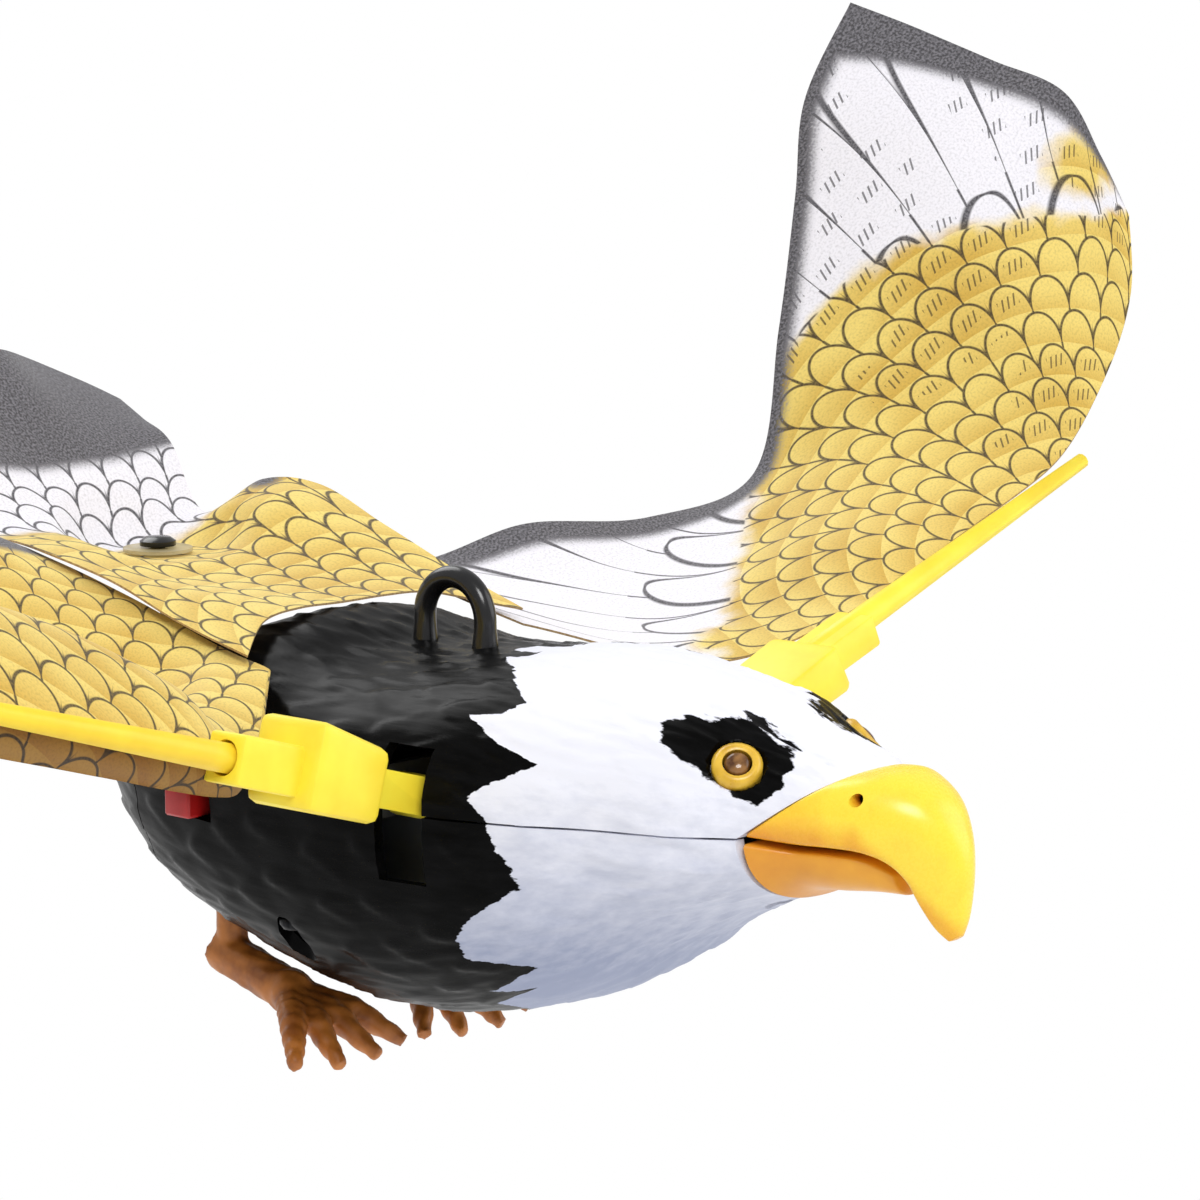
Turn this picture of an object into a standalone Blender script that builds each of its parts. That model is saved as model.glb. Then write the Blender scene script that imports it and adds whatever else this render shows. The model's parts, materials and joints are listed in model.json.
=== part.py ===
"""Hanging bird deterrent: a battery driven bird of prey that hangs by a ring and flaps two cloth wings.

Metres, +Z up. The bird faces -Y and its left wing points to +X. The origin is where a cord bears on the
inside of the hang ring. Most places are given in bird coordinates: x to the bird's left, f forward of the
ring, and h above the level parting line of the two body shells. place() turns them into world coordinates.
"""

import math

import bmesh
import bpy
from mathutils import Matrix, Vector

# General fits
GAP = 0.0003
WALL = 0.0016
RUNNING_GAP = 0.0003

# Body: sections along its length, each (forward, half width, height above and depth below the parting line)
BODY_SECTIONS = (
    (-0.0605, 0.0040, 0.0040, 0.0040),
    (-0.0570, 0.0125, 0.0090, 0.0105),
    (-0.0500, 0.0200, 0.0110, 0.0165),
    (-0.0380, 0.0270, 0.0140, 0.0246),
    (-0.0220, 0.0315, 0.0192, 0.0296),
    (-0.0050, 0.0335, 0.0164, 0.0335),
    (0.0100, 0.0340, 0.0168, 0.0336),
    (0.0250, 0.0328, 0.0184, 0.0304),
    (0.0360, 0.0296, 0.0182, 0.0258),
    (0.0470, 0.0248, 0.0172, 0.0184),
    (0.0570, 0.0214, 0.0156, 0.0129),
    (0.0660, 0.0158, 0.0120, 0.0096),
    (0.0740, 0.0122, 0.0096, 0.0078),
    (0.0785, 0.0085, 0.0060, 0.0050),
    (0.0810, 0.0035, 0.0025, 0.0022),
)
BODY_ROUNDNESS = 2.3
BODY_RINGS = 24
BODY_SEGMENTS = 32

# Hang ring: a moulded arch in the long plane of the body, on a foot inside the upper shell
RING_HOLE_HEIGHT = 0.00825
RING_HOLE_WIDTH = 0.0085
RING_STOCK = 0.0032
RING_FOOT_LENGTH = 0.0180
RING_FOOT_WIDTH = 0.0070
RING_FOOT_THICKNESS = 0.0016

# Beak: the head is cut off along two slanted planes that meet at the gape
GAPE_FORWARD = 0.0655
FOREHEAD_FORWARD = 0.0776
FOREHEAD_HEIGHT = 0.0096
THROAT_FORWARD = 0.0668
THROAT_DEPTH = 0.0090

# Each station: lower edge (forward, height), upper edge (forward, height) and half width
UPPER_BEAK = (
    ((0.0712, -0.0006), (0.0812, 0.0092), 0.0120),
    ((0.0760, -0.0007), (0.0845, 0.0082), 0.0102),
    ((0.0800, -0.0010), (0.0873, 0.0064), 0.0086),
    ((0.0830, -0.0022), (0.0895, 0.0038), 0.0068),
    ((0.0850, -0.0045), (0.0911, 0.0002), 0.0051),
    ((0.0863, -0.0078), (0.0917, -0.0042), 0.0037),
    ((0.0878, -0.0108), (0.0914, -0.0090), 0.0023),
    ((0.0893, -0.0126), (0.0906, -0.0118), 0.0010),
)
LOWER_BEAK = (
    ((0.0700, -0.0082), (0.0705, -0.0016), 0.0112),
    ((0.0745, -0.0078), (0.0752, -0.0018), 0.0092),
    ((0.0790, -0.0074), (0.0794, -0.0024), 0.0068),
    ((0.0828, -0.0074), (0.0826, -0.0044), 0.0038),
)
NOSTRIL = (0.0798, 0.0060)
NOSTRIL_RADIUS = 0.0008
NOSTRIL_OUTER_X = 0.0090
NOSTRIL_INNER_X = 0.0062

# Eyes
EYE_FORWARD = 0.0635
EYE_HEIGHT = 0.0093
EYE_RING_RADIUS = 0.0034
EYE_RING_DEPTH = 0.0024
EYE_RING_PROUD = 0.0005
PUPIL_RADIUS = 0.0017
PUPIL_PROUD = 0.0009
LED_RADIUS = 0.0015
LED_LENGTH = 0.0038

# Wing arms: each turns on a pin that lies fore and aft at the shoulder
PIVOT_X = 0.0262
PIVOT_HEIGHT = 0.0010
PIVOT_FORWARD = 0.0210
PIN_RADIUS = 0.0010
HUB_RADIUS = 0.0030
HUB_LENGTH = 0.0130
ARM_HEIGHT = 0.0052
ARM_WIDTH = 0.0060
HORN_LENGTH = 0.0172
HORN_WIDTH = 0.0040
HORN_HEIGHT = 0.0034
HORN_LEVEL_RAISE = 9.0
SOCKET_START = 0.0160
SOCKET_LENGTH = 0.0135
SOCKET_WIDTH = 0.0125
SOCKET_HEIGHT = 0.0100
SOCKET_HUMP = 0.0022
SOCKET_ROUNDING = 0.0013
PLUG_LENGTH = 0.0110
PLUG_SIZE = 0.0068
LEFT_RAISE = 19.0
RIGHT_RAISE = 16.0
SLOT_WIDTH = 0.0080
SLOT_ABOVE = 0.0089
SLOT_BELOW = 0.0096
SLOT_ROUNDING = 0.0008

# Wing rods
ROD_ROOT_RADIUS = 0.0021
ROD_TIP_RADIUS = 0.0012
ROD_START = 0.0220
ROD_REACH = 0.0980

# Crank drive, stacked forward of the horns
CRANK_HEIGHT = -0.0098
CRANK_PIN_RADIUS = 0.0010
CRANK_PIN_STUB = 0.0011
LINK_LENGTH = 0.0160
LINK_THICKNESS = 0.0015
LINK_EYE_RADIUS = 0.0023
LINK_WIDTH = 0.0026
CRANK_DISC_RADIUS = 0.0072
CRANK_DISC_THICKNESS = 0.0022
SHAFT_RADIUS = 0.0010
GEAR_MODULE = 0.0005
CRANK_TEETH = 40
IDLER_SMALL_TEETH = 10
IDLER_BIG_TEETH = 32
PINION_TEETH = 10
GEAR_FACE = 0.0030
PRESSURE_ANGLE = 20.0
TOOTH_THINNING = 0.86
ADDENDUM = 0.80
DEDENDUM = 1.15
PLATE_THICKNESS = 0.0015
EAR_BELOW = 0.0032
EAR_ABOVE = 0.0040
GEAR_PLATE_HALF_WIDTH = 0.0130
GEAR_PLATE_FOOT_HALF_WIDTH = 0.0095
GEAR_PLATE_SHOULDER = -0.0120
GEAR_PLATE_BOTTOM = -0.0192
GEAR_PLATE_TOP = 0.0110
MOTOR_RADIUS = 0.00775
MOTOR_LENGTH = 0.0160
MOTOR_HEIGHT = 0.0030
FRAME_FORWARD = 0.0125
POST_RADIUS = 0.0018
PLATE_POST_X = 0.0060
FRAME_POST_X = 0.0264

# Cells, their sleeve, and the tail cap of the lower shell that closes it
CELL_RADIUS = 0.00725
CELL_LENGTH = 0.0505
CELL_PITCH = 0.0146
CELL_COUNT = 3
CELL_HEIGHT = -0.0109
CELL_REAR = -0.0364
CELL_NIPPLE_RADIUS = 0.0026
CELL_NIPPLE_LENGTH = 0.0010
CONTACT_THICKNESS = 0.0006
CONTACT_HALF_WIDTH = 0.0190
CONTACT_HEIGHT = 0.0110
TRAY_WALL = 0.0008
TRAY_FIT = 0.00025
TRAY_REAR = -0.0300
DOOR_SEAM = -0.0372
DOOR_RIB_HALF_WIDTH = 0.0085
DOOR_RIB_THICKNESS = 0.0012
DOOR_RIB_TOP = -0.0050

# Sound and light electronics
BOARD_LENGTH = 0.0280
BOARD_WIDTH = 0.0280
BOARD_THICKNESS = 0.0012
BOARD_FORWARD = -0.0130
SPEAKER_RADIUS = 0.0095
SPEAKER_DEPTH = 0.0042

# Power switch, at the rear of the right side
SWITCH_FORWARD = -0.0218
SWITCH_HEIGHT = -0.0042
SWITCH_TRAVEL = 0.0025
KNOB_LENGTH = 0.0050
KNOB_HEIGHT = 0.0041
KNOB_PROUD = 0.0023
SWITCH_TRAY_GAP = 0.0007
SWITCH_BODY_LENGTH = 0.0120
SWITCH_BODY_HEIGHT = 0.0056

# Feet
FOOT_X = 0.0130
LEG_FORWARD = -0.0325
LEG_RADIUS = 0.0022
LEG_PEG = 0.0012
HEEL = (-0.0352, -0.0304)
INSTEP = (-0.0205, -0.0346)
TARSUS_RADIUS = 0.0031
TOE_ROOT_RADIUS = 0.0025
TOE_TIP_RADIUS = 0.0011
TOE_TIPS = (
    (0.0112, -0.0082, -0.0415),
    (0.0038, -0.0067, -0.0426),
    (-0.0042, -0.0070, -0.0426),
    (-0.0110, -0.0084, -0.0419),
)

# Tail boss and stud that hold the cloth
STUD_FORWARD = -0.0610
STUD_HEIGHT = 0.0232
STUD_HEAD_RADIUS = 0.0027
STUD_HEAD_HEIGHT = 0.0014
STUD_SHANK_RADIUS = 0.0011
STUD_SHANK_LENGTH = 0.0034
BOSS_RADIUS = 0.0032
BOSS_FOOT_FORWARD = -0.0500
BOSS_FOOT_RADIUS = 0.0048
WASHER_RADIUS = 0.0052
WASHER_THICKNESS = 0.0005

# Shell screws
SCREW_RADIUS = 0.0012
SCREW_HEAD_RADIUS = 0.0024
SCREW_HEAD_HEIGHT = 0.0016
SCREW_COLUMN_RADIUS = 0.0031
FRONT_SCREW_FORWARD = 0.0608
SIDE_SCREW_X = 0.0268
SIDE_SCREW_FORWARD = -0.0050

# Cloth
CLOTH_THICKNESS = 0.0006
CLOTH_GAP = 0.0004
SEAM_X = 0.0290
SEAM_GAP = 0.0016
CLOTH_GRID = (22, 13)
PRESSED_RADIUS = 0.0090
FREE_RADIUS = 0.0170

# Nets that the cloth's folds are smoothed over, in millimetres: (x outwards, forward, height over NET_BASE)
NET_BASE = 0.0157
LEFT_NET = (
    ((29, -11, 0.5), (29, -18, 2), (29, -27, 4), (29, -37, 5.5), (29, -47, 7), (29, -56, 8)),
    ((46, 6, -7), (45, -6, -5.5), (44, -16, -4), (43, -27, -1.5), (42, -39, 0.5), (42, -50, 2.5)),
    ((62, 16.6, -2.2), (62, 6, -2.5), (61, -8, -4), (61, -20, -3), (61, -33, 1), (61, -44, 7)),
    ((80, 18.3, 4.2), (81, 8, 6.5), (82, -4, 6.5), (82.5, -16, 4), (83, -28, 4), (83, -37, 6.5)),
    ((98, 18.3, 10.3), (99.5, 8, 13), (101, -4, 15), (101.5, -14, 15.5), (101, -22, 14), (100.4, -30, 12.5)),
    ((118, 17.5, 17.5), (119.5, 7, 23), (119, -5, 27), (116, -15, 30), (113, -25, 32), (110, -33, 34.5)),
    ((133, 15, 29), (133, 5, 38), (130, -6, 45), (126, -17, 50), (121.5, -27, 53), (117.5, -36, 55)),
    ((142, 13, 41), (143.5, 4, 52), (139, -8, 60), (133, -18, 66), (127, -28, 69.5), (121, -37, 70.6)),
    ((148, 8, 52.8), (148.5, 2, 62), (149, -6, 72), (142, -15, 77), (136, -26, 82), (130, -35, 86)),
)
RIGHT_NET = (
    ((29, -11, 0.5), (29, -18, 2), (29, -27, 4.5), (29, -37, 7.5), (29, -47, 10.5), (29, -58, 13)),
    ((46, 6, -8.5), (46, -5, -3), (45, -16, -6), (44, -28, -1), (43, -40, 5), (42, -51, 11)),
    ((62, 16.6, -4.2), (61, 6, 4), (61, -8, -3), (61, -22, -9), (60, -36, -1), (60, -48, 8)),
    ((80, 18.3, 1), (80, 3, 14), (80, -10, 6), (79, -24, -4), (78, -37, 0), (76, -46, 8)),
    ((98, 18.3, 6.2), (98, 6, 20), (98, -8, 14), (97, -22, 4), (96, -34, 4), (94, -42, 10)),
    ((118, 17.5, 12), (118, 6, 25), (118, -8, 22), (117, -20, 14), (115, -32, 12), (112, -40, 16)),
    ((134, 14, 19), (134, 4, 29), (133, -8, 30), (131, -20, 24), (129, -30, 22), (126, -38, 25)),
    ((146, 9, 28), (146, 0, 36), (145, -9, 38), (143, -19, 35), (140, -28, 33), (137, -36, 34)),
    ((155, 2, 38), (155, -5, 43), (154, -12, 46), (152, -20, 45), (149, -28, 44), (146, -35, 44)),
)
TAIL_NET = (
    ((-27.4, -13, 1.2), (-18, -20, 3.8), (-9, -22, 4.5), (0, -22.5, 4.6), (9, -22, 4.5), (18, -20, 3.8), (27.4, -13, 1.2)),
    ((-27.4, -28, 4.8), (-18, -32, 6.2), (-9, -33, 5.6), (0, -33, 5.4), (9, -33, 6), (18, -32, 7), (27.4, -28, 6)),
    ((-27.4, -42, 9), (-18, -44, 8), (-9, -45, 6.6), (0, -45, 6.8), (9, -45, 8), (18, -44, 11), (27.4, -42, 11)),
    ((-27.4, -55, 12.5), (-18, -54, 10.5), (-9, -53.5, 9), (0, -53, 8.6), (9, -53.5, 10), (18, -54, 15), (27.4, -55, 15.5)),
    ((-25, -63, 13.8), (-16, -62, 11.5), (-8, -61.5, 8.9), (0, -61, 8.5), (8, -61.5, 9), (16, -61, 13.5), (22, -61, 16.5)),
    ((-24, -72, 15), (-15, -71, 12.5), (-7, -70, 11.5), (0, -70, 11), (7, -70, 10.8), (13, -70, 10.6), (18.5, -70.5, 11)),
    ((-27, -81, 22.5), (-17, -80, 20.5), (-8, -80, 19.5), (0, -80, 19.5), (8, -80, 19.5), (15, -81, 20), (21.5, -81, 20.5)),
    ((-30, -91, 33), (-19, -91, 31.5), (-9, -91, 30.5), (0, -90, 29.5), (9, -92, 28), (16, -91, 26), (22.3, -88, 23.5)),
    ((-31, -98, 40), (-20, -99, 38.5), (-10, -98, 37), (0, -97, 35.5), (10, -101, 33), (17, -98, 29.5), (22.5, -93.5, 26)),
)
NET_UNIT = 0.001

FINISHES = {
    "black_abs": ((0.012, 0.012, 0.013), 0.22, 0.0),
    "white_abs": ((0.80, 0.80, 0.84), 0.35, 0.0),
    "beak_yellow": ((0.86, 0.50, 0.03), 0.30, 0.0),
    "beak_orange": ((0.75, 0.30, 0.02), 0.35, 0.0),
    "lemon_plastic": ((0.93, 0.80, 0.06), 0.40, 0.0),
    "pupil_plastic": ((0.22, 0.08, 0.03), 0.15, 0.0),
    "foot_brown": ((0.30, 0.10, 0.02), 0.45, 0.0),
    "switch_red": ((0.50, 0.02, 0.02), 0.40, 0.0),
    "cloth_print": ((0.75, 0.58, 0.16), 0.85, 0.0),
    "patch_film": ((0.70, 0.64, 0.50), 0.60, 0.0),
    "steel": ((0.62, 0.62, 0.62), 0.30, 1.0),
    "acetal_white": ((0.78, 0.78, 0.74), 0.45, 0.0),
    "frame_grey": ((0.30, 0.30, 0.32), 0.50, 0.0),
    "board_green": ((0.02, 0.20, 0.07), 0.50, 0.0),
    "cell_wrap": ((0.05, 0.12, 0.35), 0.40, 0.0),
    "led_clear": ((0.80, 0.75, 0.60), 0.10, 0.0),
}

SIDES = {"left": 1, "right": -1}
RAISE = {"left": LEFT_RAISE, "right": RIGHT_RAISE}


def clear_scene():
    """Removes whatever the startup file holds."""
    for obj in list(bpy.data.objects):
        bpy.data.objects.remove(obj, do_unlink=True)


def new_collection(name):
    collection = bpy.data.collections.new(name)
    bpy.context.scene.collection.children.link(collection)
    return collection


clear_scene()
PARTS = new_collection("hanging_bird_deterrent")
CUTTERS = new_collection("cutters")


def material(name):
    """One Principled material for each finish, made once."""
    if name in bpy.data.materials:
        return bpy.data.materials[name]
    colour, roughness, metallic = FINISHES[name]
    made = bpy.data.materials.new(name)
    made.use_nodes = True
    shader = made.node_tree.nodes["Principled BSDF"]
    shader.inputs["Base Color"].default_value = (*colour, 1.0)
    shader.inputs["Roughness"].default_value = roughness
    shader.inputs["Metallic"].default_value = metallic
    return made


# The body's form


def hermite(before, start, end, after, t):
    """Catmull-Rom interpolation between start and end."""
    return 0.5 * (
        2 * start
        + (end - before) * t
        + (2 * before - 5 * start + 4 * end - after) * t**2
        + (3 * start - before - 3 * end + after) * t**3
    )


def body_section(u):
    """(forward, half width, top, bottom) at u, which counts the sections from the tail."""
    last = len(BODY_SECTIONS) - 1
    u = min(max(u, 0.0), float(last))
    i = min(int(u), last - 1)
    near = [BODY_SECTIONS[min(max(k, 0), last)] for k in (i - 1, i, i + 1, i + 2)]
    return [hermite(near[0][k], near[1][k], near[2][k], near[3][k], u - i) for k in range(4)]


def section_at(forward):
    """(half width, top, bottom) of the body at a place along its length."""
    low, high = 0.0, len(BODY_SECTIONS) - 1.0
    for _ in range(40):
        middle = (low + high) / 2
        if body_section(middle)[0] < forward:
            low = middle
        else:
            high = middle
    return body_section((low + high) / 2)[1:]


def body_top(forward, inset=0.0):
    return section_at(forward)[1] - inset


def body_side(forward, height, inset=0.0):
    """Half width of the body at a height."""
    half_width, top, bottom = section_at(forward)
    reach = (top if height >= 0 else bottom) - inset
    share = min(abs(height) / reach, 1.0)
    return (half_width - inset) * (1 - share**BODY_ROUNDNESS) ** (1 / BODY_ROUNDNESS)


def body_skin(x, forward, upwards, inset=0.0):
    """Height of the body's skin above or below the place x, forward."""
    half_width, top, bottom = section_at(forward)
    share = min(abs(x) / (half_width - inset), 1.0)
    reach = (1 - share**BODY_ROUNDNESS) ** (1 / BODY_ROUNDNESS)
    return (top - inset) * reach if upwards else -(bottom - inset) * reach


PARTING_Z = -RING_HOLE_HEIGHT - body_top(0.0)
TAIL_END = BODY_SECTIONS[0][0]
HEAD_END = BODY_SECTIONS[-1][0]


def place(x, forward, height):
    """World coordinates of a place in bird coordinates."""
    return Vector((x, -forward, PARTING_Z + height))


def unplace(point):
    return point.x, -point.y, point.z - PARTING_Z


# Meshes and objects


def finish(name, bm, finish_name, helper=False, smooth=True):
    """Makes an object of a bmesh: a part, or a helper that cuts or joins one."""
    bmesh.ops.recalc_face_normals(bm, faces=bm.faces)
    if bm.calc_volume(signed=True) < 0:
        bmesh.ops.reverse_faces(bm, faces=bm.faces)
    mesh = bpy.data.meshes.new(name)
    bm.to_mesh(mesh)
    bm.free()
    obj = bpy.data.objects.new(name, mesh)
    if helper:
        CUTTERS.objects.link(obj)
        obj.hide_render = True
        obj.display_type = "WIRE"
        return obj
    PARTS.objects.link(obj)
    mesh.materials.append(material(finish_name))
    if smooth:
        mesh.shade_smooth()
        mesh.set_sharp_from_angle(angle=math.radians(35))
    return obj


def box_mesh(low, high, rounding=0.0, frame=None):
    """A box between two corners, with rounded edges if asked, then moved by frame."""
    bm = bmesh.new()
    bmesh.ops.create_cube(bm, size=1.0)
    size = Vector([b - a for a, b in zip(low, high)])
    centre = Vector([(a + b) / 2 for a, b in zip(low, high)])
    bmesh.ops.scale(bm, vec=size, verts=bm.verts)
    bmesh.ops.translate(bm, vec=centre, verts=bm.verts)
    if rounding:
        bmesh.ops.bevel(bm, geom=bm.edges[:], offset=rounding, segments=2, profile=0.5, affect="EDGES")
    if frame is not None:
        bm.transform(frame)
    return bm


def bird_box(low, high, rounding=0.0):
    """A box between two places in bird coordinates."""
    a, b = place(*low), place(*high)
    lowest = [min(p, q) for p, q in zip(a, b)]
    highest = [max(p, q) for p, q in zip(a, b)]
    return box_mesh(lowest, highest, rounding)


def bar_mesh(start, end, radius, end_radius=None, sides=20):
    """A cylinder or cone between two world points."""
    bm = bmesh.new()
    along = end - start
    tip = radius if end_radius is None else end_radius
    turn = Vector((0, 0, 1)).rotation_difference(along).to_matrix().to_4x4()
    middle = Matrix.Translation((start + end) / 2) @ turn
    bmesh.ops.create_cone(
        bm, cap_ends=True, segments=sides, radius1=radius, radius2=tip, depth=along.length, matrix=middle
    )
    return bm


def ball_mesh(centre, radius, segments=16, rings=10):
    bm = bmesh.new()
    matrix = Matrix.Translation(centre)
    bmesh.ops.create_uvsphere(bm, u_segments=segments, v_segments=rings, radius=radius, matrix=matrix)
    return bm


def prism_mesh(outline, start, end, frame=None):
    """A flat outline of (x, z) points, drawn out along Y from start to end."""
    bm = bmesh.new()
    face = bm.faces.new([bm.verts.new((x, start, z)) for x, z in outline])
    moved = bmesh.ops.extrude_face_region(bm, geom=[face])
    verts = [item for item in moved["geom"] if isinstance(item, bmesh.types.BMVert)]
    bmesh.ops.translate(bm, vec=(0, end - start, 0), verts=verts)
    if frame is not None:
        bm.transform(frame)
    return bm


def side_prism_mesh(outline, half_width):
    """A side outline of (forward, height) points, as wide as half_width each way."""
    bm = bmesh.new()
    face = bm.faces.new([bm.verts.new(place(-half_width, f, h)) for f, h in outline])
    moved = bmesh.ops.extrude_face_region(bm, geom=[face])
    verts = [item for item in moved["geom"] if isinstance(item, bmesh.types.BMVert)]
    bmesh.ops.translate(bm, vec=(2 * half_width, 0, 0), verts=verts)
    return bm


def loft_mesh(rings):
    """A closed solid over rings of as many points each, with a flat face at both ends."""
    bm = bmesh.new()
    rows = [[bm.verts.new(point) for point in ring] for ring in rings]
    count = len(rows[0])
    for low, high in zip(rows, rows[1:]):
        for k in range(count):
            bm.faces.new((low[k], low[(k + 1) % count], high[(k + 1) % count], high[k]))
    bm.faces.new(rows[0][::-1])
    bm.faces.new(rows[-1])
    return bm


def boolean(target, operation, bm):
    """Cuts target with, or joins to it, a helper made of bm."""
    helper = finish(f"{target.name}_{operation.lower()}_{len(target.modifiers)}", bm, None, helper=True)
    modifier = target.modifiers.new(helper.name, "BOOLEAN")
    modifier.operation = operation
    modifier.object = helper
    modifier.solver = "EXACT"
    return helper


def cut(target, bm):
    return boolean(target, "DIFFERENCE", bm)


def join(target, bm):
    return boolean(target, "UNION", bm)


def joint_empty(name, point):
    """An empty on a joint's axis, which carries the pieces that move."""
    empty = bpy.data.objects.new(name, None)
    empty.empty_display_size = 0.01
    empty.location = point
    PARTS.objects.link(empty)
    return empty


def carry(empty, *pieces):
    """Puts pieces on a joint's empty, where they are."""
    for piece in pieces:
        piece.parent = empty
        piece.matrix_parent_inverse = Matrix.Translation(empty.location).inverted()


def body_form(inset, rings, segments):
    """The body's whole outside, or its inside a wall's thickness in, from a sphere."""
    bm = bmesh.new()
    bmesh.ops.create_uvsphere(bm, u_segments=segments, v_segments=rings, radius=1.0)
    last = len(BODY_SECTIONS) - 1
    middle = (TAIL_END + HEAD_END) / 2
    half = (HEAD_END - TAIL_END) / 2
    for vert in bm.verts:
        along = math.acos(max(-1.0, min(1.0, -vert.co.z))) / math.pi
        forward, half_width, top, bottom = body_section(along * last)
        forward = middle + (forward - middle) * (half - inset) / half
        angle = math.atan2(vert.co.y, vert.co.x)
        on_axis = math.hypot(vert.co.x, vert.co.y) < 1e-6
        side = 0.0 if on_axis else abs(math.cos(angle)) ** (2 / BODY_ROUNDNESS)
        rise = 0.0 if on_axis else abs(math.sin(angle)) ** (2 / BODY_ROUNDNESS)
        reach = top if math.sin(angle) >= 0 else bottom
        x = math.copysign(side, math.cos(angle)) * max(half_width - inset, 0.3 * half_width)
        h = math.copysign(rise, math.sin(angle)) * max(reach - inset, 0.3 * reach)
        vert.co = place(x, forward, h)
    return bm


# Shells and what is cut in them


def half_space(above):
    """A block that holds all of the body above or below the parting line, less half the seam."""
    wide = 0.06
    deep = 0.06
    edge = GAP / 2
    if above:
        return bird_box((-wide, TAIL_END - deep, edge), (wide, HEAD_END + deep, deep))
    return bird_box((-wide, TAIL_END - deep, -deep), (wide, HEAD_END + deep, -edge))


def beak_cutter():
    """All in front of the two slanted planes where the beak is seated."""
    ahead = HEAD_END + 0.02
    slope_up = (FOREHEAD_FORWARD - GAPE_FORWARD) / FOREHEAD_HEIGHT
    slope_down = (THROAT_FORWARD - GAPE_FORWARD) / THROAT_DEPTH
    top = 0.03
    outline = (
        (GAPE_FORWARD, 0.0),
        (GAPE_FORWARD + slope_up * top, top),
        (ahead + slope_up * top, top),
        (ahead + slope_down * top, -top),
        (GAPE_FORWARD + slope_down * top, -top),
    )
    return side_prism_mesh(outline, 0.03)


def eye_axis(side):
    """The eye's place on the skin and the outward direction there, in world coordinates."""
    step = 0.0004
    x = body_side(EYE_FORWARD, EYE_HEIGHT)
    along_f = (body_side(EYE_FORWARD + step, EYE_HEIGHT) - body_side(EYE_FORWARD - step, EYE_HEIGHT)) / (2 * step)
    along_h = (body_side(EYE_FORWARD, EYE_HEIGHT + step) - body_side(EYE_FORWARD, EYE_HEIGHT - step)) / (2 * step)
    outward = Vector((side, along_f, -along_h)).normalized()
    return place(side * x, EYE_FORWARD, EYE_HEIGHT), outward


def slot_cutter(side):
    """The slot in the shoulder that a wing arm moves in."""
    inside = side * (PIVOT_X + HUB_RADIUS * 0.5)
    outside = side * 0.05
    half = SLOT_WIDTH / 2
    low = (min(inside, outside), PIVOT_FORWARD - half, -SLOT_BELOW)
    high = (max(inside, outside), PIVOT_FORWARD + half, SLOT_ABOVE)
    return bird_box(low, high, SLOT_ROUNDING)


def screw_places():
    """(name, x, forward) of the three screws that hold the shells together."""
    return (
        ("front_shell_screw", 0.0, FRONT_SCREW_FORWARD),
        ("left_shell_screw", SIDE_SCREW_X, SIDE_SCREW_FORWARD),
        ("right_shell_screw", -SIDE_SCREW_X, SIDE_SCREW_FORWARD),
    )


def column(x, forward, low, high, radius):
    return bar_mesh(place(x, forward, low), place(x, forward, high), radius, sides=16)


def build_upper_shell():
    shell = finish("upper_shell", body_form(0.0, BODY_RINGS, BODY_SEGMENTS), "black_abs")
    inside = cut(shell, body_form(WALL, BODY_RINGS - 6, BODY_SEGMENTS - 8))
    for _, x, forward in screw_places():
        cut(inside, column(x, forward, -0.001, 0.04, SCREW_COLUMN_RADIUS))
    boolean(shell, "INTERSECT", half_space(True))
    boss_foot = body_top(BOSS_FOOT_FORWARD) - WALL * 0.8
    boss_top = STUD_HEIGHT - CLOTH_THICKNESS / 2 - CLOTH_GAP
    join(shell, bar_mesh(
        place(0, BOSS_FOOT_FORWARD, boss_foot),
        place(0, STUD_FORWARD, boss_top + BOSS_RADIUS / 2),
        BOSS_FOOT_RADIUS,
        BOSS_RADIUS,
    ))
    cut(shell, bird_box((-0.02, STUD_FORWARD - 0.02, boss_top), (0.02, STUD_FORWARD + 0.02, boss_top + 0.02)))
    cut(shell, beak_cutter())
    for side in SIDES.values():
        centre, outward = eye_axis(side)
        cut(shell, bar_mesh(centre - outward * 0.006, centre + outward * 0.004, EYE_RING_RADIUS + GAP, sides=24))
        cut(shell, slot_cutter(side))
    for along in (-1, 1):
        forward = along * ring_half_width()
        low = place(0, forward, body_top(forward) - 0.006)
        high = place(0, forward, body_top(forward) + 0.004)
        cut(shell, bar_mesh(low, high, ring_radius() + GAP, sides=20))
    for _, x, forward in screw_places():
        top = screw_tip(x, forward) + 0.0008
        cut(shell, column(x, forward, -0.002, top, SCREW_RADIUS + GAP))
    stud_bottom = boss_top - STUD_SHANK_LENGTH - GAP
    cut(shell, bar_mesh(
        place(0, STUD_FORWARD, stud_bottom), place(0, STUD_FORWARD, boss_top + 0.004), STUD_SHANK_RADIUS + GAP
    ))
    return shell


def screw_seat(x, forward):
    """Height of the seat of a shell screw's head, in a recess of the lower shell."""
    return body_skin(x, forward, False) + SCREW_HEAD_HEIGHT + 0.0022


def screw_tip(x, forward):
    return min(body_skin(x, forward, True) * 0.5, 0.0060)


def door_axis():
    """The hinge line of the tail cap, on the skin at the foot of its seam."""
    return place(0.0, DOOR_SEAM, -section_at(DOOR_SEAM)[2])


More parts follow.
